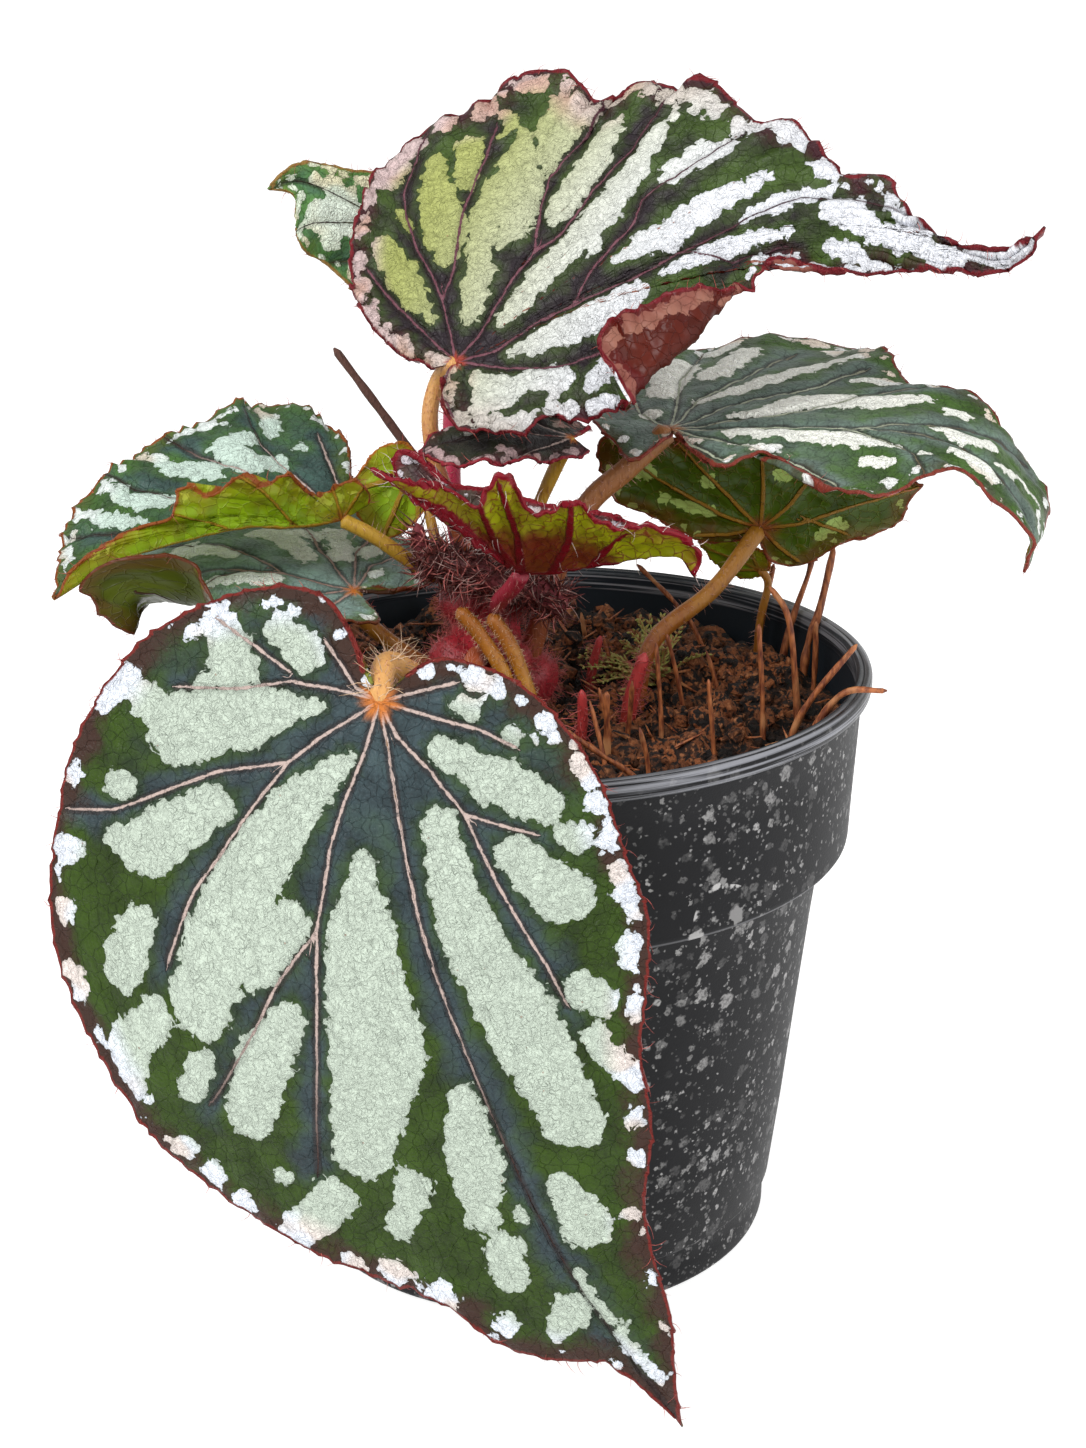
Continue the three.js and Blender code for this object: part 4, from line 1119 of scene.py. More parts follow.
def ground_layer(wiring, given, at):
    """Green, slate toward the veins and the joint, in clouds, with a faint dark net."""
    near_vein = wiring.ramp(wiring.plus(at.vein, wiring.times(at.broad, 12.0)), 6.5, 1.0)
    near_joint = wiring.ramp(wiring.plus(at.joint, wiring.times(at.broad, 40.0)), 58, 14)
    ground = wiring.mix(wiring.maths("MAXIMUM", near_vein, near_joint), given["Green"], given["Heart"])
    ground = wiring.mix(wiring.ramp(at.jagged, 2.6, 0.2, 0, 0.6), ground, given["Green"])
    shade = wiring.ramp(wiring.plus(at.broad, wiring.times(at.fine, 0.5)), -0.3, 0.3, 0.5, 1.4)
    ground = wiring.mix(1.0, ground, grey(wiring, shade), "MULTIPLY")
    return wiring.mix(wiring.times(at.net, 0.14), ground, (0.01, 0.012, 0.01, 1))


def silver_layer(wiring, given, at):
    """Silver, with its own tones in the tail and along the margin, pricked, and with painted shade in fine
    swirled lines that stand for its engraved relief.
    """
    plan = wiring.put("ShaderNodeSeparateXYZ", {0: at.plan}).outputs
    farther = wiring.minus(plan["X"], wiring.times(plan["Y"], 1.2))
    tail = wiring.ramp(farther, given["Tail from"], given["Tail to"])
    silver = wiring.mix(tail, given["Silver"], given["Tail silver"])
    at_edge = wiring.times(wiring.ramp(at.rim, 9, 3), wiring.minus(1.0, tail))
    cream = wiring.mix(1.0, given["Edge silver"], (0.95, 0.8, 0.68, 1), "MULTIPLY")
    creamy = wiring.ramp(wiring.noise(at.plan, 0.09, 1).outputs[0], 0.5, 0.62)
    silver = wiring.mix(at_edge, silver, wiring.mix(creamy, given["Edge silver"], cream))
    tone = wiring.ramp(wiring.plus(at.draw[1], at.fine), 0, 1, 0.95, 1.04)
    silver = wiring.mix(1.0, silver, grey(wiring, tone), "MULTIPLY")
    silver = wiring.mix(wiring.ramp(at.jagged, -0.9, 0.1, 0, 0.2), silver, given["Green"])
    prick = wiring.ramp(wiring.cells(at.plan, 0.22).outputs["Distance"], 0.06, 0.03)
    silver = wiring.mix(wiring.times(prick, 0.6), silver, paint("8a5a48"))
    # Painted shade: the fine engraved lines of the silver are darkened in its colour, a little lighter
    # between them.
    swirl_shade = wiring.ramp(at.swirl, 0.0, 0.03, 0.86, 1.08)
    return wiring.mix(1.0, silver, grey(wiring, swirl_shade), "MULTIPLY")


def upper_side(wiring, given, at):
    """Ground and silver, then the dark band along the margin, the veins, the joint and the edging."""
    upper = wiring.mix(at.silver, ground_layer(wiring, given, at), silver_layer(wiring, given, at))
    band = wiring.plus(at.rim, wiring.times(at.fine, 2.5), wiring.times(at.broad, 12.0))
    band = wiring.ramp(wiring.minus(given["Band width"], band), -2.5, 2.5)
    band = wiring.times(band, wiring.ramp(at.silver, 0, 1, 1, 0.08))
    upper = wiring.mix(band, upper, given["Band"])

    # A vein is a pale flaky ribbon with dark sides near the joint, and a thin dark line further out.
    progress = wiring.maths("DIVIDE", at.joint, given["Vein reach"])
    streak = wiring.ramp(wiring.noise(at.plan, 0.5, 3).outputs[0], 0.36, 0.55, 0.6, 1.1)
    width = wiring.times(given["Vein width"], streak, wiring.ramp(progress, 0.3, 1.0, 1, 0.4))
    core = wiring.minus(width, at.flaky)
    at.core = wiring.times(wiring.ramp(core, -0.12, 0.12), wiring.ramp(progress, 0.9, 1.3, 1, 0))
    dark = wiring.ramp(wiring.plus(core, 0.7), -0.3, 0.4, 0, 0.65)
    at.dark = wiring.times(dark, wiring.ramp(at.silver, 0, 1, 1, 0.3))
    upper = wiring.mix(at.dark, upper, (0.022, 0.014, 0.014, 1))
    line = wiring.mix(wiring.ramp(progress, 0.45, 0.8), given["Vein"], given["Vein end"])
    upper = wiring.mix(at.core, upper, line)
    upper = wiring.mix(at.star, upper, given["Joint"])
    return wiring.mix(at.edging, upper, given["Rim"])


def underside(wiring, given, at):
    """A plain clouded tone with raised veins and net, darker round the stalk, browned at the margin."""
    tone = wiring.plus(at.broad, wiring.times(at.draw[2], 0.3))
    tone = wiring.ramp(tone, -0.3, 0.5, 0.6, 1.25)
    under = wiring.mix(1.0, given["Under"], grey(wiring, tone), "MULTIPLY")
    under = wiring.mix(wiring.times(at.silver, 0.85), under, given["Under silver"])
    under = wiring.mix(wiring.times(at.net, given["Under net"]), under, given["Under vein"])
    cloud = wiring.times(at.broad, 16.0)
    near_stalk = wiring.minus(given["Under joint size"], wiring.plus(at.joint, cloud))
    under = wiring.mix(wiring.ramp(near_stalk, -6, 6, 0, 0.9), under, given["Under vein"])
    browned = wiring.ramp(wiring.plus(at.rim, cloud), 6, 0, 0, 0.38)
    under = wiring.mix(browned, under, given["Rim"])
    width = wiring.times(given["Under vein width"], wiring.ramp(at.joint, 0, 50, 1.5, 0.6))
    at.under_core = wiring.ramp(wiring.minus(width, at.flaky), -0.18, 0.18)
    under = wiring.mix(at.under_core, under, given["Under vein"])
    return wiring.mix(wiring.maths("MAXIMUM", at.edging, wiring.times(at.star, 0.8)), under, given["Rim"])


blade_colours = [
    "Heart", "Green", "Silver", "Tail silver", "Edge silver", "Vein", "Vein end", "Band", "Rim", "Joint",
    "Under", "Under silver", "Under vein",
]
blade_sizes = [
    "Tail from", "Tail to", "Joint size", "Vein width", "Vein reach", "Band width", "Rim width",
    "Under vein width", "Under joint size", "Under net",
]


def blade_markings():
    """The pattern of a blade: the colour of both its sides, its relief in millimetres and its gloss."""
    inputs = {**dict.fromkeys(blade_colours, "Color"), **dict.fromkeys(blade_sizes, "Float")}
    outputs = {"Color": "Color", "Height": "Float", "Roughness": "Float"}
    tree, wiring, given = new_tree("blade markings", "ShaderNodeTree", inputs, outputs)
    at = blade_places(wiring, given)
    facing = wiring.ramp(wiring.attribute("side"), -0.2, 0.2)
    colour = wiring.mix(facing, underside(wiring, given, at), upper_side(wiring, given, at))
    relief = wiring.times(at.net, wiring.ramp(at.silver, 0, 1, -0.14, -0.05))
    relief = wiring.plus(relief, wiring.times(at.swirl, at.silver, 2.2), wiring.times(at.silver, 0.12))
    relief = wiring.plus(relief, wiring.times(at.fine, 0.3), wiring.times(at.dark, -0.25))
    relief = wiring.plus(relief, wiring.times(at.core, 0.2))
    raised = wiring.plus(wiring.times(at.under_core, 0.5), wiring.times(at.net, 0.1))
    height = wiring.mix(facing, raised, relief)
    gloss = wiring.ramp(at.silver, 0, 1, 0.36, 0.5)
    wiring.put("NodeGroupOutput", {"Color": colour, "Height": height, "Roughness": gloss})
    return tree


markings = blade_markings()
green_looks = {
    "Heart": "344246", "Green": "2b3f09", "Silver": "b8c4b5", "Edge silver": "e8eef8", "Vein": "b8a49c",
    "Vein end": "34201c", "Band": "38241c", "Rim": "6c1e18", "Joint": "c07030", "Under": "46660c",
    "Under silver": "8aa84a", "Under vein": "8a6020",
}
green_sizes = {
    "Tail from": 1000.0, "Tail to": 1001.0, "Joint size": 4.6, "Vein width": 0.34, "Vein reach": 120.0,
    "Band width": 4.0, "Rim width": 0.55, "Under vein width": 0.4, "Under joint size": 0.0,
    "Under net": 0.15,
}


def blade_material(name, looks, sizes):
    material, wiring, surface = new_material(name)
    looks = {**green_looks, **dict(looks)}
    looks.setdefault("Tail silver", looks["Silver"])
    values = {key: paint(code) for key, code in looks.items()}
    values.update({**green_sizes, **dict(sizes)})
    surface.inputs["Specular IOR Level"].default_value = 0.2
    pattern = wiring.put("ShaderNodeGroup", node_tree=markings)
    for key, value in values.items():
        pattern.inputs[key].default_value = value
    finish_surface(
        wiring, surface, pattern.outputs["Color"], pattern.outputs["Height"], pattern.outputs["Roughness"]
    )
    return material


rim_hosts = []


def add_leaf(name, leaf, slot, seed, looks=(), sizes=()):
    """Makes one leaf blade, and keeps its shape for the hairs on its rim."""
    points, faces, attributes = blade_shape(leaf, seed)
    material = blade_material(f"blade {name}", looks, sizes)
    add_piece(f"blade_{name}", mesh_of(name, points, faces, attributes), material, slot, f"leaf_{name}")
    rim_hosts.append((points, faces, {key: attributes[key] for key in ("hair", "grow")}))


# A leaf is written flat, in millimetres from its joint, with x toward the tip and y to the left.
# rib is the line in space that its midrib follows, side (side_tip at the tip) the heading of its
# left half, and lift and cup how far each half, left and right, is raised and curved. ruffle is
# the margin's (height, waves, phase), frill the finer waves on it, puff the height of its blisters
# and quilt that of the cells all over, which are cell across. fold is a line, with the angle, width
# and easing of the turn of what lies beyond it. mesh is (points round, points out), and tip the
# outline's point at the tip. Patches are strokes of (x, y, half width), drawn in by shrink and cut
# by islands, and spots are strung along the margin: (pitch, (smallest, largest), distance in).
front_leaf = {
    "rib": [(-26, -84, 152), (-20, -93, 113), (-11, -97, 84), (3, -99, 48), (15, -100, 27), (28, -101, 6)],
    "side": (1, -0.1, 0),
    "lift": (-4, -4),
    "cup": (-6, -8),
    "ruffle": (0.8, 13, 0),
    "mesh": (470, 84),
    "tip": 19,
    "outline": [
        (-6, -2), (-14, -3), (-21, -7), (-24, -17), (-22, -32), (-16, -46), (-4, -58), (10, -66),
        (28, -72), (48, -73), (66, -69), (82, -63), (95, -51), (107, -38), (116, -26), (127, -21),
        (135, -13), (139, -5), (148, -2), (159, 0), (147, 6), (138, 11), (126, 15), (110, 20), (96, 27),
        (79, 31), (66, 37), (54, 41), (38, 40), (22, 38), (10, 33), (2, 27), (-3, 20), (-6, 12), (-4, 6),
    ],
    "tooth_pitch": 5.0,
    "tooth": 1.0,
    "spots": (13.0, (0.6, 1.3), 0.8),
    "patches": [
        [(-1, -12, 1), (-1, -26, 6), (0, -38, 7)], [(-4, -42, 4), (-9, -47, 2.5)],
        [(-19, -27, 3.5), (-11, -26, 5)], [(-9, -27, 2.5), (-8, -34, 1)], [(-16, -16, 3), (-11, -12, 3.5)],
        [(15, -35, 4), (21, -49, 6), (19, -55, 2.5)],
        [(10, -8, 1.5), (15, -16, 4), (24, -26, 6), (37, -37, 7), (48, -47, 5.5)],
        [(38, -25, 4.5), (42, -33, 5.5)], [(34, -54, 3), (40, -60, 4)], [(57, -51, 2.5), (61, -55, 3)],
        [(48, -56, 3), (53, -66, 4), (59, -66, 2.5)], [(53, -30, 3), (59, -38, 5.5), (69, -46, 5)],
        [(29, -8, 2), (41, -11, 6), (63, -16, 9.5), (82, -27, 6)],
        [(24, 7, 3), (43, 8, 5), (66, 12, 7), (89, 14, 5.5)], [(32, 20, 3.5), (43, 27, 6)],
        [(11, 10, 2.5), (18, 19, 4.5), (24, 27, 3.5)], [(64, 25, 3.5), (67, 28, 3.5)],
        [(30, 30, 2.5), (31, 32, 3)], [(77, -4, 3), (90, -7, 5.5), (101, -10, 3.5)],
        [(91, -20, 3.5), (99, -27, 2.5)], [(100, 7, 3), (110, 8, 5)], [(109, -9, 4), (114, -11, 3.5)],
        [(125, -4, 3.5), (129, -10, 2.5)], [(90, -37, 4.5), (95, -48, 4)], [(3, 15, 2), (4, 16, 2)],
        [(74, 24, 2.5), (85, 28, 3)], [(119, 1, 1), (131, 1, 1.5)], [(138, 1, 2), (147, 3, 1.5)],
        [(-11, -48, 3.5), (-7, -54, 2.5)], [(-1, 18, 2.5), (2, 22, 1.5)],
        [(6, -62, 2.5)], [(9, -53, 3)], [(20, -66, 3.5)], [(30, -69, 2.5)], [(39, -71, 2), (43, -70, 2)],
        [(113, -25, 3)], [(107, -33, 3)], [(104, -40, 2.5)], [(123, -18, 3)], [(73, -63, 3)],
        [(80, -60, 3)], [(87, -56, 3)], [(4, 25, 1.2)], [(8, 29, 2.2), (11, 31, 1.6)], [(13, 34, 1.3)],
        [(17, 34.5, 2.4), (20, 35.5, 2.4)], [(25, 36, 2.6)], [(29, 38, 1.5), (33, 37, 2.7)], [(11, 27, 0.8)],
        [(39, 38, 2), (46, 38, 2.8), (52, 38, 2)], [(58, 36, 2.6), (62, 35, 2.2)], [(10, 23, 1.8)],
        [(70, 33, 2.2)], [(92, 25, 2.5)], [(100, 22, 2.5)], [(112, 16, 2.5)], [(127, 13, 2)],
        [(107, -32, 2), (109, -30, 2)], [(113, -27, 2.4), (116, -25, 1.6)], [(103, -3, 1.4)],
        [(137, 9, 1.5)], [(83, -45, 1.5)], [(134, 2, 2)], [(-18, -33, 2)],
        [(-22, -28, 1.5)], [(-21, -16, 1.5)], [(-20, -7, 1)], [(-18, -13, 1.5)], [(-13, -5, 1.5)],
        [(-20, -18, 1.5)], [(-4, 9, 2)],
    ],
    "veins": [
        [(0, 0), (159, 0)], [(0, 0), (7, 2), (14, 7), (23, 12), (35, 15), (47, 18), (57, 20), (66, 21)],
        [(23, 12), (26, 18), (29, 24)], [(0, 0), (4, 8), (8, 17), (12, 23)], [(0, 0), (-1, 14)],
        [(0, 0), (10, -5), (18, -10), (26, -14), (34, -17), (38, -19), (52, -24), (61, -28), (84, -38)],
        [(40, -20), (47, -30), (54, -38), (65, -53)],
        [(0, 0), (5, -12), (9, -19), (17, -28), (25, -36), (30, -42), (41, -51)],
        [(9, -19), (9, -33), (11, -42), (14, -55), (13, -65)],
        [(0, 0), (-3, -7), (-6, -16), (-6, -26), (-8, -38)], [(0, 0), (-3, -4), (-12, -8)],
        [(-8, -16), (-12, -20), (-19, -27)],
    ],
}
add_leaf("front", front_leaf, "leaf", 1)


# Top leaf: stands highest and leans back, its long tail drawn out to the right. Purple-brown
# with pinkish silver, its rim frilled and puffed, and one fold of its red underside turned up.
top_leaf = {
    "rib": [
        (-13, 0, 197), (12, 4, 209), (42, 4, 220), (69, 1, 222), (90, -4, 218), (100, -7, 217),
        (107, -9, 224),
    ],
    "side": (0, 0.67, 0.74),
    "side_tip": (0, 0.55, 0.83),
    "ruffle": (0.9, 15, 1),
    "frill": (1.3, 37),
    "fold": ((27, -28), (68, -9), 160, 6, 5),
    "mesh": (460, 64),
    "tip": 23,
    "outline": [
        (-4, -2), (-7, -8), (-6, -16), (-1, -19), (5, -24), (11, -22), (14, -25), (22, -28), (29, -29),
        (34, -34), (40, -41), (47, -39), (52, -33), (57, -28), (62, -20), (67, -11), (71, -6), (76, -7),
        (80, -9), (88, -10), (102, -6), (112, -4), (122, -2), (130, 0), (121, 2), (112, 2), (104, 4),
        (97, 7), (93, 13), (90, 14), (86, 12), (80, 20), (75, 26), (71, 25.5), (67, 32), (63, 39),
        (59.5, 38), (54, 44), (47, 42), (44, 51), (39, 56), (32, 57), (26, 54), (19, 56), (12, 55), (5, 52),
        (-2, 46), (-9, 36), (-12, 27), (-12, 18), (-9, 8), (-5, 1),
    ],
    "quilt": 0.7,
    "spots": (4.8, (1.7, 2.7), 0.3),
    "shrink": 0.75,
    "puff": 1.3,
    "patches": [
        [(17, 46, 2), (14, 38, 4.5), (12, 29, 5.5), (10, 24, 3)], [(23, 46, 3), (20, 39, 2.5), (20, 36, 1)],
        [(-2, 35, 3), (-1, 26, 4.5), (-1, 19, 3.5), (0, 12, 1.5)], [(6, 40, 2), (6, 35, 1.5)],
        [(32, 42, 2.5), (29, 36, 4.5), (27, 29, 5), (23, 21, 3.5), (19, 19, 1)],
        [(25, 34, 3.5), (21, 28, 4), (16, 21, 3), (13, 15, 4), (8, 9, 3), (5, 7, 1)],
        [(41, 46, 3), (38, 40, 5), (34, 34, 3), (33, 32, 1.5)], [(30, 50, 1.5), (31, 46, 2), (28, 45, 1)],
        [(50, 37, 2), (46, 34, 3), (42, 29, 3.5), (37, 25, 4), (32, 21, 3), (30, 18, 1)],
        [(59, 34, 1), (54, 29, 2), (49, 23, 3), (43, 18, 4), (36, 14, 4), (24, 8, 3.5), (13, 3, 2.5)],
        [(40, 16, 3), (36, 10, 2), (34, 8, 0.5)], [(64, 22, 3), (60, 21, 3.5), (55, 19, 3), (52, 17, 1)],
        [(73, 15, 1), (67, 11, 2.5), (58, 8, 4), (51, 5, 4), (44, 5, 3), (39, 4, 2)],
        [(86, 10, 1.5), (81, 9, 2.5), (73, 7, 2.5), (65, 4, 1.5)],
        [(76, 0, 1.5), (66, -1, 3), (55, -2, 2.5), (47, -3, 1.5)], [(77, -6, 1.5), (72, -7, 1)],
        [(40, -5, 3.5), (32, -6, 4.5), (24, -6, 4.2), (17, -6, 3.5), (11, -5, 1.5)],
        [(39, -11, 3), (37, -17, 2.5), (36, -20, 1.5)], [(2, -6, 2.5), (4, -12, 5.5), (-1, -14, 3)],
        [(11, -13, 3.5), (17, -16, 4), (13, -19, 2)], [(29, -18, 3.5), (23, -21, 3)],
        [(25, -25, 1.5), (22, -26, 1)], [(16, -23, 1.5), (12, -22, 1)], [(35, 54, 2), (39, 51, 2)],
        [(53, 43, 2.5), (48, 43, 1.5)], [(62, 35, 2.5)], [(12, 51, 2.5), (8, 48, 2.5)], [(28, 53, 3)],
        [(78, 22, 2.5)], [(-9, 23, 2)], [(-10, 15, 2), (-8, 10, 2)], [(-6, 1, 2), (-4, -6, 2)],
        [(92, 4, 3.5), (102, -1, 3), (118, 1, 1)], [(84, 5, 4), (98, 0, 5), (112, -1, 3.5), (124, 0, 1.5)],
        [(84, -4, 3), (92, -6, 3)], [(50, -31, 2.5), (57, -24, 3)],
    ],
    "islands": [
        [(86, 12, 1.2), (90, 8, 1.6), (94, 3, 0.8)], [(92, -4, 1.4), (98, -5, 0.8)],
        [(100, -4, 1), (104, -5, 1)], [(105, 2, 1), (110, 2, 0.6)], [(112, -3, 0.8), (116, -3, 0.8)],
    ],
    "veins": [
        [(0, 0), (4, 15), (5, 22), (5, 30), (7, 39), (9, 44), (18, 54)],
        [(4, 15), (10, 21), (17, 32), (24, 41), (28, 48)], [(0, 0), (-3, 11), (-5, 19), (-6, 24), (-7, 31)],
        [(0, 0), (8, 4), (20, 12), (25, 15), (29, 24), (33, 30), (42, 36), (47, 41)],
        [(25, 15), (31, 16), (39, 22), (49, 28), (57, 36)], [(0, 0), (9, -2), (19, -1), (27, -1)],
        [(27, -1), (35, 6), (45, 11), (48, 16), (58, 19), (67, 24)],
        [(27, -1), (42, -1), (60, 2), (77, 8), (96, 6), (118, -1), (128, 0)],
        [(0, 0), (4, -3), (11, -9), (18, -13), (26, -14), (38, -14)], [(0, 0), (-6, -4), (-6, -12)],
        [(52, 1), (62, -5), (75, -3)],
    ],
}
top_looks = {
    "Heart": "2c2429", "Green": "384a1e", "Silver": "a2a862", "Tail silver": "e6e8ee",
    "Edge silver": "cfb8b6", "Vein": "704650", "Vein end": "42242c", "Band": "3c1c22", "Rim": "6c1820",
    "Joint": "a04030", "Under": "4c160a", "Under silver": "966656", "Under vein": "3a0c0c",
}
top_sizes = {
    "Tail from": -36.0, "Tail to": 60.0, "Joint size": 2.6, "Band width": 2.6, "Vein width": 0.3,
    "Vein reach": 90.0,
}
add_leaf("top", top_leaf, "leaf", 2, top_looks, top_sizes)


# Right leaf: spreads level over the right of the pot and bends down at its brown tail. Slate
# green with long pale patches and a thin wavy red-brown rim.
right_leaf = {
    "rib": [
        (32, 8, 180), (57, 4, 181), (81, -3, 181), (95, -9, 177), (103, -13, 168), (106, -16, 161),
        (104, -18, 154),
    ],
    "side": (0, 0.99, 0.12),
    "side_tip": (0.25, 0.95, 0.15),
    "lift": (0, -4),
    "cup": (-4, -16),
    "ruffle": (1.5, 12, 2),
    "mesh": (330, 52),
    "tip": 14,
    "outline": [
        (2, -4), (8, -13), (13, -18), (21, -15), (27, -17), (33, -22), (38, -27), (46, -30), (53, -27),
        (59, -19), (66, -14), (74, -12), (80, -8), (87, -5), (95, 0), (90, 8), (85, 16), (78, 26), (71, 25),
        (66, 23), (60, 27), (54, 30), (47, 33), (42, 41), (37, 52), (30, 60), (22, 63), (14, 64), (4, 64),
        (-8, 58), (-16, 44), (-20, 26), (-19, 10), (-16, 0), (-11, -6), (-7, -13), (-2, -10), (1, -5),
    ],
    "spots": (7.0, (0.8, 1.5), 0.6),
    "patches": [
        [(-2, 43, 5.5), (-4, 23, 3.5)], [(14, 51, 2.5), (7, 35, 4)],
        [(30, 42, 2.5), (20, 31, 3), (12, 22, 2.5), (5, 17, 1)],
        [(50, 20, 1.5), (42, 14, 3.5), (27, 15, 4), (19, 8, 2), (16, 7, 0.5)], [(14, 7, 1.5)],
        [(13, -3, 1.5), (23, -4, 2), (33, -6, 3), (41, -7, 3.5), (49, -8, 1.5)],
        [(14, -9, 1), (21, -10, 1.5), (27, -13, 1)], [(35, 31, 1), (40, 32, 2.5), (45, 33, 1)],
        [(25, 60, 2.5)], [(29, 55, 3)], [(33, 58, 2), (36, 52, 3)], [(34, 45, 2.5)],
        [(2, 59, 2.5), (7, 55, 3), (9, 59, 3)], [(57, 16, 2.5)], [(56, 4, 1.5), (62, 4, 3), (67, 9, 1.5)],
        [(63, -4, 1.5), (69, -5, 3.5), (72, -5, 2)], [(45, -15, 2), (50, -15, 1.5)],
        [(71, 3, 1), (77, 11, 1), (82, 11, 1), (85, 6, 1.5)], [(57, -9, 1.5)], [(52, -22, 2.5)],
        [(57, -16, 1.5)], [(65, -14, 1.5)], [(-5, 9, 2.5)], [(-1, -3, 1), (6, -6, 1.5)],
    ],
    "veins": [
        [(0, 0), (92, 0)], [(0, 0), (15, 5), (26, 9), (40, 20), (52, 29)],
        [(0, 0), (0, 16), (-1, 34), (3, 60)], [(0, 0), (5, 19), (13, 32), (22, 52)],
        [(0, 0), (12, 14), (26, 24), (36, 38)], [(0, 0), (11, -6), (28, -16), (40, -26)],
        [(36, 0), (52, -8), (60, -17)], [(40, 0), (60, 10), (74, 22)],
        [(0, 0), (-8, 12), (-14, 36)], [(0, 0), (4, -6), (12, -15)],
    ],
}
right_looks = {
    "Heart": "66786e", "Green": "3e5a24", "Silver": "fafcf2", "Edge silver": "fafcfa", "Vein": "b0b8a0",
    "Vein end": "5a4a34", "Band": "4a4a34", "Rim": "7a3226", "Joint": "a8683a",
}
right_sizes = {"Band width": 1.0, "Rim width": 0.6, "Joint size": 4.0, "Vein reach": 80.0}
add_leaf("right", right_leaf, "leaf", 3, right_looks, right_sizes)


# Low right leaf: tilted up under the right leaf so that its bright green underside shows, with
# ochre veins that spread from the stalk's end.
right_low_leaf = {
    "rib": [(53, 22, 154), (64, 21, 157), (75, 20, 160), (88, 19, 164)],
    "side": (0.28, 0.29, -0.91),
    "ruffle": (0.7, 9, 0),
    "mesh": (240, 36),
    "tip": 13,
    "outline": [
        (-4, 2), (-11, 1), (-18, -5), (-24, -11), (-29, -17), (-30, -26), (-28, -33), (-22, -33), (-12, -28),
        (-3, -24), (8, -20), (19, -15), (29, -8), (37, 0), (33, 4), (30, 8), (23, 10), (17, 9), (11, 12),
        (5, 13), (0, 9), (-1, 4),
    ],
    "spots": (6.0, (0.6, 1.2), 1.0),
    "patches": [
        [(-19, -14, 1), (-12, -9, 1.5), (-9, -7, 1)], [(12, 6, 1.5), (16, 4, 2), (18, 5, 1)],
        [(-8, -16, 1.5)], [(-21, -22, 2.5)], [(8, -12, 2)],
    ],
    "veins": [
        [(0, 0), (9, 1), (20, 0), (36, 0)], [(0, 0), (-4, -9), (-9, -20), (-12, -27)],
        [(0, 0), (3, -10), (5, -19)], [(0, 0), (7, -4), (13, -9), (19, -14)], [(0, 0), (3, 6), (6, 11)],
        [(0, 0), (-8, -7), (-18, -19), (-25, -29)], [(0, 0), (-7, -1), (-14, -3)], [(10, 0), (18, 7)],
    ],
}
right_low_looks = {"Rim": "7c3c20", "Under": "3c500a", "Under silver": "a8c068", "Under vein": "8a6420"}
add_leaf("right_low", right_low_leaf, "leaf", 4, right_low_looks, {"Under vein width": 0.3})


# Left leaf: folded along its midrib, with the far half flat and silvered and the near half
# standing up, so that its yellow-green underside and orange toothed edge face the front.
left_leaf = {
    "rib": [
        (-38, -5, 165), (-48, -9, 165), (-59, -13, 166), (-77, -18, 163), (-86, -20, 160), (-95, -23, 155),
    ],
    "side": (0, -1, 0),
    "lift": (80, 25),
    "cup": (20, -8),
    "ruffle": (1, 12, 0),
    "frill": (0.6, 33),
    "tooth": 1.3,
    "tooth_pitch": 4.5,
    "mesh": (330, 48),
    "tip": 13,
    "outline": [
        (-3, -4), (-6, -12), (-9, -24), (-8, -34), (-4, -42), (4, -46), (14, -43), (22, -40), (30, -37),
        (38, -35), (46, -30), (53, -22), (58, -12), (63, 0), (58, 3), (50, 4), (41, 5), (36, 6), (33, 10),
        (30, 11), (28, 8), (25, 9), (21, 12), (18, 9), (14, 12), (11, 11), (8, 8), (4, 6), (1, 8), (-3, 9),
        (-6, 6), (-6, 3),
    ],
    "spots": (5.5, (0.7, 1.4), 0.8),
    "patches": [
        [(4, -40, 2.5), (6, -33, 2.5)], [(13, -30, 2), (19, -27, 3), (17, -20, 3), (8, -21, 3)],
        [(34, -33, 1), (31, -25, 2.5), (25, -21, 3.5), (23, -17, 1.5)],
        [(47, -29, 0.5), (43, -19, 2), (39, -16, 3), (34, -14, 2)], [(45, -28, 1), (42, -23, 1.5)],
        [(52, -24, 1.5), (49, -16, 1.5), (44, -11, 2), (41, -9, 1)], [(56, -17, 2)], [(56, -12, 2)],
        [(57, -8, 2)], [(26, -36, 1.5)], [(21, -37, 2.5)], [(18, -36, 1)], [(4, -45, 1.5)], [(2, -44, 1)],
        [(-6, -35, 2)], [(1, -26, 1.5)], [(41, -29, 2)], [(50, -29, 1)], [(51, -27, 1)],
    ],
    "veins": [
        [(0, 0), (62, 0)], [(0, 0), (-3, -12), (-4, -30)], [(0, 0), (4, -14), (10, -28), (12, -40)],
        [(0, 0), (12, -11), (24, -26), (30, -36)], [(14, 0), (28, -10), (40, -22), (45, -30)],
        [(30, 0), (44, -6), (54, -16)], [(0, 0), (2, 8), (6, 14)], [(10, 0), (18, 8), (24, 14)],
        [(24, 0), (34, 6), (42, 9)], [(0, 0), (-4, 7)],
    ],
}
left_looks = {
    "Heart": "3c544e", "Green": "3a5a24", "Silver": "c8dccf", "Edge silver": "e0e8e4", "Band": "4a5a26",
    "Rim": "844418", "Under": "74900a", "Under silver": "a6bc3c", "Under vein": "94701a", "Joint": "b07a2c",
}
left_sizes = {
    "Band width": 1.4, "Rim width": 0.5, "Under vein width": 0.2, "Joint size": 3.0, "Vein reach": 55.0,
    "Vein width": 0.3,
}
add_leaf("left", left_leaf, "leaf", 5, left_looks, left_sizes)


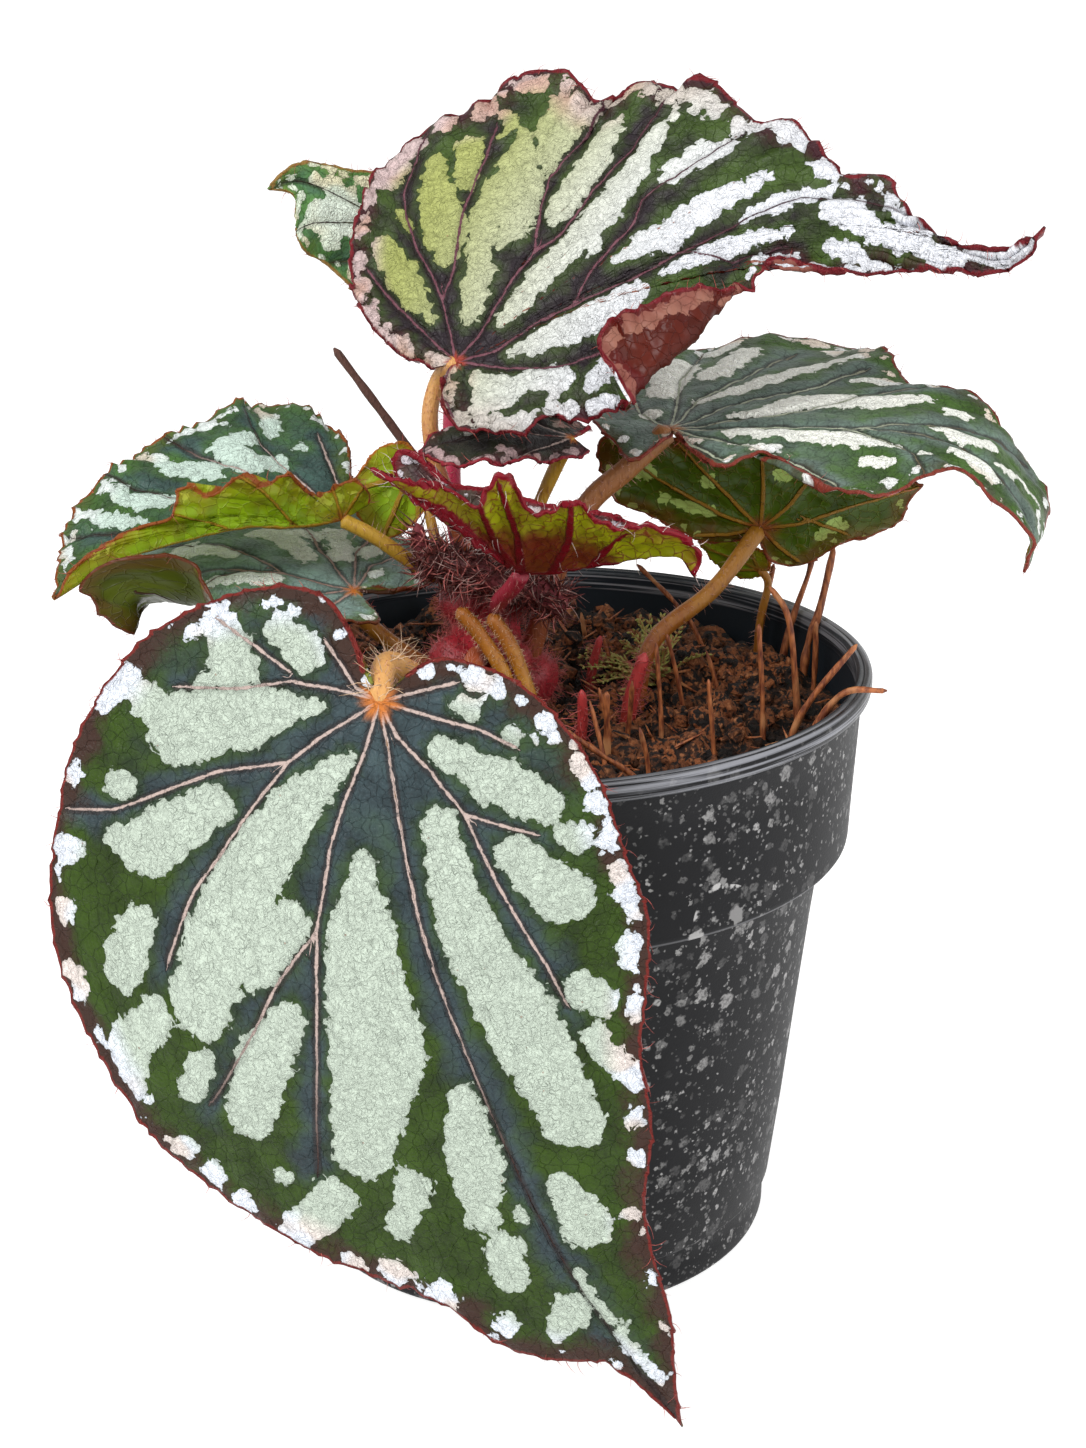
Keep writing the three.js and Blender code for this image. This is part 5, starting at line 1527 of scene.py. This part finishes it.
# Low left leaf: lies level behind the front leaf, its outer lobe folded up so that the dark
# olive underside shows.
left_low_leaf = {
    "rib": [(-36, -4, 149), (-51, 0, 152), (-65, 1, 153), (-75, -2, 151), (-81, -7, 148), (-83, -11, 143)],
    "side": (0, -0.97, -0.2),
    "ruffle": (1, 10, 0),
    "fold": ((60, 7), (36, 23), 85, 4, 3),
    "mesh": (250, 40),
    "tip": 12,
    "outline": [
        (-3, -4), (-11, -6), (-13, -14), (-9, -24), (0, -31), (12, -36), (26, -37), (36, -34), (40, -29),
        (43, -25), (47, -18), (52, -8), (56, 3), (61, 13), (61, 22), (52, 29), (43, 31), (35, 26),
        (26, 20), (14, 24), (2, 20), (-9, 10), (-4, 3),
    ],
    "spots": (6.0, (0.7, 1.4), 0.8),
    "patches": [
        [(35, -12, 3), (32, -9, 3), (28, -6, 1.5)], [(25, -16, 1.5), (20, -16, 3.5), (14, -8, 2)],
        [(16, -19, 2.5)], [(12, -22, 2), (8, -13, 2.5)], [(4, -18, 3)], [(32, 6, 2.5), (18, 4, 2.5)],
        [(-2, -9, 2)], [(-7, 3, 2)], [(46, -9, 2)], [(53, -10, 1.5), (52, -5, 1.5)], [(50, -3, 1.5)],
        [(52, 7, 2)],
    ],
    "islands": [[(57, 17, 8)]],
    "veins": [
        [(0, 0), (60, 0)], [(0, 0), (13, -14), (17, -22), (22, -34)], [(0, 0), (6, -16), (6, -30)],
        [(0, 0), (1, -13), (-6, -24)], [(0, 0), (-6, -3), (-10, -8)], [(16, 0), (34, -14), (44, -26)],
        [(0, 0), (12, 8), (24, 18)], [(24, 0), (42, 10), (52, 16)], [(0, 0), (3, 10), (4, 19)],
    ],
}
left_low_looks = {
    "Heart": "7c948c", "Green": "5c7e44", "Silver": "eef4ea", "Edge silver": "e4ece8", "Vein": "a88a80",
    "Band": "4c562c", "Rim": "5c2c14", "Under": "40480e", "Under silver": "62701c", "Under vein": "3a2010",
}
left_low_sizes = {"Band width": 1.2, "Joint size": 3.0, "Vein reach": 50.0, "Vein width": 0.3}
add_leaf("left_low", left_low_leaf, "leaf", 6, left_low_looks, left_low_sizes)


# Back leaf: stands behind the top leaf, pale silver streaked with green.
back_leaf = {
    "rib": [(-14, 48, 202), (-26, 50, 216), (-39, 48, 225), (-48, 46, 229), (-54, 42, 228)],
    "side": (-0.5, -0.35, -0.75),
    "ruffle": (1, 10, 0),
    "mesh": (210, 34),
    "tip": 11,
    "outline": [
        (-4, -3), (-10, -14), (-6, -30), (4, -41), (14, -48), (19, -46), (19, -35), (20, -23), (26, -12),
        (34, -7), (45, -4), (53, 0), (46, 4), (47, 8), (40, 14), (32, 15), (22, 17), (10, 16), (0, 10),
        (-4, 3),
    ],
    "spots": (5.0, (0.8, 1.6), 0.6),
    "patches": [
        [(42, -1, 1.5), (33, -1, 2.5)], [(33, 10, 2.5), (32, 3, 2.5)], [(42, 11, 2)],
        [(34, -5, 1.5), (29, -6, 2)], [(20, -41, 1), (20, -38, 1.5)], [(47, -1, 1)],
        [(22, 6, 3), (12, 5, 2.5)], [(20, -8, 3), (14, -4, 1.5)], [(17, -22, 3.5), (10, -10, 2)],
        [(10, -34, 4), (5, -18, 4)], [(24, 13, 2.5)], [(0, -24, 3.5), (-2, -12, 3)], [(15, -40, 3)],
        [(14, -26, 3), (16, -14, 3)], [(28, 3, 4), (38, 6, 4)],
    ],
    "veins": [
        [(0, 0), (52, 0)], [(0, 0), (14, 5), (30, 14)], [(0, 0), (14, -8), (27, -16)],
        [(0, 0), (9, -20), (18, -42)], [(0, 0), (0, -20), (5, -38)], [(0, 0), (-6, -14), (-7, -26)],
        [(22, 0), (38, 8), (44, 12)], [(0, 0), (6, 10), (9, 15)],
    ],
}
back_looks = {
    "Heart": "4a6a54", "Green": "4f7a3c", "Silver": "e6f2e2", "Edge silver": "e2eed8", "Vein": "6a7a4a",
    "Band": "6a8a3c", "Rim": "8a6a34", "Under": "6f9a4a", "Under silver": "b8cc9a",
}
back_sizes = {"Band width": 0.8, "Rim width": 0.5, "Joint size": 3.0, "Vein reach": 45.0, "Vein width": 0.3}
add_leaf("back", back_leaf, "leaf", 7, back_looks, back_sizes)


# Young leaf: still folded like a boat in the middle of the plant. Its outside shows yellow-green
# panels between dark red ribs, with white bristles along the ribs and the red frilled rim.
young_leaf = {
    "rib": [(0, -24, 158), (16, -27, 161), (26, -29, 163), (32, -30, 163), (35, -31, 159)],
    "side": (0, 0.9, 0.3),
    "lift": (50, 62),
    "ruffle": (1.4, 12, 0),
    "frill": (0.5, 33),
    "mesh": (300, 40),
    "tip": 16,
    "outline": [
        (-2, -3), (-4, -16), (-7, -32), (-13, -46), (-15, -51), (-10, -48), (-5, -38), (0, -34), (4, -39),
        (8, -40), (9, -30), (13, -25), (18, -26), (22, -18), (27, -13), (33, -7), (39, 0), (34, 3),
        (31, 5), (26, 6), (19, 10), (13, 11), (6, 14), (-3, 18), (-13, 21), (-18, 27), (-23, 29),
        (-24, 23), (-14, 12), (-4, 3),
    ],
    "quilt": 0.7,
    "cell": 5.0,
    "rib_hair": 0.35,
    "spots": (4.5, (0.8, 1.5), 0.8),
    "patches": [
        [(6, 7, 2.5), (16, 6, 2.5), (26, 3, 1.5)], [(4, -14, 2), (8, -20, 2)], [(-2, -24, 2), (-6, -34, 2)],
    ],
    "veins": [
        [(0, 0), (38, 0)], [(0, 0), (-5, -22), (-13, -49)], [(0, 0), (-1, -16), (1, -34)],
        [(0, 0), (4, -18), (6, -38)], [(6, 0), (13, -12), (17, -25)], [(14, 0), (22, -9), (27, -12)],
        [(0, 0), (4, 8), (8, 13)], [(10, 0), (18, 5), (22, 8)], [(0, 0), (-8, 10), (-20, 26)],
    ],
}
young_looks = {
    "Heart": "4a3a3c", "Green": "4a4436", "Silver": "c8c4cc", "Edge silver": "dcd4dc", "Vein": "c08a8a",
    "Band": "6a1a24", "Rim": "7c1220", "Joint": "a83040", "Under": "8e9010", "Under silver": "9c9c20",
    "Under vein": "6c0e18",
}
young_sizes = {
    "Band width": 1.2, "Rim width": 1.0, "Under vein width": 0.55, "Vein width": 0.3, "Joint size": 4.0,
    "Vein reach": 40.0, "Under joint size": 20.0, "Under net": 0.8,
}
add_leaf("young", young_leaf, "young_leaf", 8, young_looks, young_sizes)
white_hair = hair_material("white bristles", "e8d0c8")
add_grown(
    "young_hairs", "young_leaf", rim_hosts.pop(), bristles, density=2.2e5, length=2.8, width=0.1, bend=0.5,
    lean=0.5, seed=16, material=white_hair,
)


# Small leaves: a bright young one behind the left leaf, a dark one with a pinkish rim in the
# middle, and a bright one low on the right.
left_back_leaf = {
    "rib": [(-23, 18, 172), (-25, 16, 168), (-27, 14, 163), (-29, 12, 158)],
    "side": (-0.8, -0.16, 0.36),
    "ruffle": (0.6, 6, 0),
    "mesh": (110, 18),
    "tip": 4,
    "tooth": 0.5,
    "outline": [(-2, -2), (0, -5), (8, -6), (15, -4), (20, 1), (17, 7), (10, 11), (2, 9), (-2, 5), (-2, 2)],
    "spots": (9.0, (0.3, 0.6), 0.6),
    "patches": [[(9, 3, 1)]],
    "veins": [[(0, 0), (19, 1)], [(0, 0), (7, 5), (11, 10)], [(0, 0), (7, -3), (12, -5)]],
}
bright_looks = {
    "Heart": "7a9a1c", "Green": "8aaa24", "Silver": "a8c050", "Edge silver": "a8c050", "Vein": "b08a3a",
    "Band": "8a9a24", "Rim": "b06a24", "Under": "86a81a", "Under silver": "9cba3c", "Under vein": "a8862c",
    "Joint": "a8862c",
}
bright_sizes = {
    "Band width": 0.6, "Rim width": 0.5, "Under vein width": 0.35, "Vein width": 0.25, "Joint size": 1.5,
    "Vein reach": 20.0,
}
add_leaf("left_back", left_back_leaf, "leaf", 9, bright_looks, bright_sizes)

middle_leaf = {
    "rib": [(11, 2, 180), (0, -3, 183), (-10, -6, 183), (-22, -8, 180)],
    "side": (0, -0.98, -0.2),
    "lift": (-20, 0),
    "cup": (-20, 0),
    "ruffle": (1, 9, 0),
    "mesh": (180, 28),
    "tip": 7,
    "outline": [
        (-3, -3), (-7, -6), (-4, -10), (4, -11), (14, -11), (22, -9), (30, -5), (35, 0), (32, 5), (26, 9),
        (18, 9), (9, 8), (1, 6), (-4, 3),
    ],
    "quilt": 0.6,
    "spots": (4.0, (1.0, 1.6), 0.3),
    "patches": [[(18, 6, 1.5), (14, 7, 1.2)], [(23, -2, 1.5)], [(1, -5, 1.8)]],
    "veins": [
        [(0, 0), (34, 0)], [(0, 0), (10, 5), (18, 9)], [(0, 0), (8, -6), (13, -10)],
        [(12, 0), (22, -5), (27, -7)],
    ],
}
middle_looks = {
    "Heart": "2a2626", "Green": "2e3620", "Silver": "b4bcb0", "Edge silver": "b89c9c", "Band": "4a2028",
    "Rim": "8a2430", "Under": "5a2a20", "Under silver": "8a5a4a", "Under vein": "6a1a1a",
}
middle_sizes = {"Band width": 1.6, "Joint size": 2.0, "Vein reach": 30.0, "Vein width": 0.25}
add_leaf("middle", middle_leaf, "young_leaf", 10, middle_looks, middle_sizes)

right_small_leaf = {
    "rib": [(54, 34, 141), (49, 34, 144), (44, 34, 146), (40, 34, 148)],
    "side": (-0.1, -0.6, 0.7),
    "ruffle": (0.4, 5, 0),
    "mesh": (84, 14),
    "tip": 3,
    "tooth": 0.4,
    "outline": [(-2, -2), (1, -7), (8, -7), (16, 0), (9, 7), (1, 7), (-2, 2)],
    "spots": (9.0, (0.3, 0.5), 0.6),
    "patches": [[(7, 2, 0.8)]],
    "veins": [[(0, 0), (15, 0)], [(0, 0), (5, 6)], [(0, 0), (5, -6)]],
}
add_leaf("right_small", right_small_leaf, "leaf", 11, bright_looks, bright_sizes)

rim_hair = hair_material("rim hairs", "c45a50")
add_grown(
    "blade_hairs", "leaf", join_shapes(rim_hosts), bristles, density=1.7e5, length=2.3, width=0.09, bend=0.9,
    lean=0.8, seed=6, material=rim_hair,
)


# Leaf stalks: round fleshy petioles in ochre, brown and red, furred with fine pale hairs, each
# from the rhizome to the joint of its blade.
ochre_flesh = stem_material("ochre stalk", "8a4216", "a87020", "6a3212")
orange_flesh = stem_material("orange stalk", "b05a34", "d09a58", "8a3a24")
brown_flesh = stem_material("brown stalk", "8a4a2a", "9a6434", "5c2a1a")
red_stalk_flesh = stem_material("red stalk", "b02045", "c23a58", "7a1430")
crimson_flesh = stem_material("crimson stalk", "7a1626", "9a2236", "540c18")
golden_flesh = stem_material("golden stub", "9a5a16", "b47c20", "7a3e12")
yellow_flesh = stem_material("yellow stalk", "9c681c", "b48c28", "7a4a1c")
stalks = {
    "front": (2.4, orange_flesh, [
        (-10, -4, 134), (-13, -30, 137), (-20, -56, 147), (-25, -75, 156), (-26, -84, 152),
    ]),
    "top": (1.8, orange_flesh, [(-11, -1, 154), (-17, 0, 172), (-19, 3, 184), (-17, 5, 192), (-13, 0, 197)]),
    "right": (2.4, brown_flesh, [(0, 3, 128), (7, 4, 150), (14, 6, 164), (23, 7, 172), (32, 8, 180)]),
    "right_low": (1.9, ochre_flesh, [
        (24, 5, 106), (25, 6, 122), (29, 9, 133), (42, 15, 142), (53, 22, 154),
    ]),
    "left": (1.6, yellow_flesh, [
        (-8, 1, 146), (-15, -1, 150), (-21, -3, 153), (-31, -5, 161), (-38, -5, 165),
    ]),
    "left_low": (1.8, ochre_flesh, [
        (-10, 0, 126), (-22, 0, 131), (-32, -1, 139), (-36, -3, 145), (-36, -4, 149),
    ]),
    "back": (2.2, red_stalk_flesh, [
        (-11, 5, 146), (-15, 9, 165), (-15, 27, 179), (-14, 44, 188), (-14, 50, 196), (-14, 48, 202),
    ]),
    "young": (1.8, crimson_flesh, [(-6, -6, 144), (-5, -14, 149), (-2, -20, 154), (0, -24, 158)]),
    "left_back": (1.2, yellow_flesh, [
        (-15, 1, 146), (-19, 6, 158), (-21, 11, 167), (-22.5, 15, 172), (-23, 18, 172),
    ]),
    "middle": (1.5, yellow_flesh, [(-2, 6, 146), (2, 6, 160), (7, 5, 172), (11, 2, 180)]),
    "right_small": (0.9, ochre_flesh, [(53, 34, 100), (54, 34, 126), (56, 34, 137), (54, 34, 141)]),
}
stalk_shapes = []
for name, (radius, flesh, line) in stalks.items():
    shape = tube(line, radius, 60, 16, hair=1.0, lumps=0.12, seed=len(stalk_shapes))
    stalk_shapes.append(shape)
    slot = "red_stem" if name in ("back", "young") else "petiole"
    add_piece(f"petiole_{name}", mesh_of(f"petiole {name}", *shape), flesh, slot, f"stalk_{name}")
pale_hair = hair_material("pale stalk hairs", "e8b0a4")
tuft_hair = hair_material("long stalk hairs", "e8c4a0")
add_grown(
    "petiole_hairs", "petiole", join_shapes(stalk_shapes), bristles, density=3.5e5, length=1.8, width=0.06,
    bend=0.3, lean=0.5, seed=7, material=pale_hair,
)
front_attributes = stalk_shapes[0][2]
front_attributes["hair"] = step_between(front_attributes["along"], 0.55, 0.8)
add_grown(
    "joint_tuft", "petiole", stalk_shapes[0], bristles, density=3e5, length=4.6, width=0.15, bend=0.8,
    lean=0.7, seed=8, material=tuft_hair,
)


# Cut stalks: two ochre stubs that stand in front of the rhizome, where old leaves were taken off.
stub_lines = [
    [(-13.8, -12, 147), (-9, -13, 141), (-4.4, -15, 133), (-2, -16, 122)],
    [(-7.1, -12, 145.6), (-3, -13, 139), (0.4, -15, 130), (2, -16, 120)],
]
stub_shapes = [tube(line, 1.65, 30, 12, hair=1.0, lumps=0.2, seed=40) for line in stub_lines]
for number, shape in enumerate(stub_shapes, 1):
    add_piece(f"cut_stalk_{number}", mesh_of("cut stalk", *shape), golden_flesh, "petiole")
add_grown(
    "cut_stalk_hairs", "petiole", join_shapes(stub_shapes), bristles, density=1.6e6, length=1.1, width=0.06,
    bend=0.5, lean=0.6, seed=18, material=tuft_hair,
)


# Dry stems: the old wiry stalks of last year's growth that stand in the soil round the edge, and
# one dark dead stick that leans out of the rhizome.
for number, (radius, line) in enumerate(dry_stems, 1):
    shape = tube(line, radius, 40, 8, taper=0.75, lumps=0.5, seed=number)
    add_piece(
        f"wiry_stem_{number:02d}", mesh_of(f"dry stem {number}", *shape), straw_paint, "straw",
        f"dry_stem_{number:02d}",
    )
stick_line = [(-5, 9, 149), (-17, 21, 162), (-29, 28, 178), (-41, 33, 194)]
stick_flesh = stem_material("dead stick", "4a2a22", "5a3a30", "1c1210", 0.8)
stick_mesh = mesh_of("stick", *tube(stick_line, 1.2, 50, 10, taper=0.8, lumps=0.5))
add_piece("dead_stick", stick_mesh, stick_flesh, "straw", "dry_stick")


# Fern tuft: a small wiry seedling of another plant beside the rhizome, its thin stems set with
# tiny leaflets in dull green and brown.
tuft_root = np.array([30, 22, soil_level + 1.0])
tuft_fronds = 16
trailing_fronds = 12
leaflet = 3.1


def tuft_shapes():
    """The fronds at the headings where the part's own draw puts them, with leaflets on both sides."""
    draw = seeded_draw(11)
    shapes = [tube([tuft_root - (0, 0, 6), tuft_root, tuft_root + (0, 0, 2.5)], 2.3, 10, 10, lumps=0.4)]
    rng = np.random.default_rng(12)
    fronds = [(20 + 45 * next(draw), 360 * next(draw), 10 + 6 * next(draw)) for _ in range(tuft_fronds)]
    for _ in range(trailing_fronds):
        fronds.append((rng.uniform(62, 80), rng.uniform(150, 250), rng.uniform(14, 19)))
    for lean, heading, length in fronds:
        lean = math.radians(lean)
        heading = math.radians(heading)
        level = math.sin(lean)
        out = np.array([level * math.cos(heading), level * math.sin(heading), math.cos(lean)])
        tip = tuft_root + out * length - (0, 0, 0.5)
        middle = tuft_root + out * length * 0.55 + (0, 0, 1.0)
        line = [tuft_root, middle, tip]
        shapes.append(tube(line, 0.4, 10, 5, taper=0.4))
        path = spaced(smooth_line(line, 60), 12)[2:]
        for k, point in enumerate(path):
            for way in (-1, 1):
                spread = np.cross(out, (0, 0, 1)) * way + out * 0.6 + rng.normal(0, 0.25, 3)
                size = leaflet * (1 - 0.06 * k)
                ends = [point, point + unit(spread) * size * 0.5, point + unit(spread) * size]
                shapes.append(tube(ends, 0.42, 4, 4, taper=0.5))
    return shapes


fern_flesh = stem_material("fern", "a8744c", "a4a858", "7a4c34", 0.7)
add_piece("fern_seedling", mesh_of("fern", *join_shapes(tuft_shapes())), fern_flesh, "tuft", "fern_tuft")
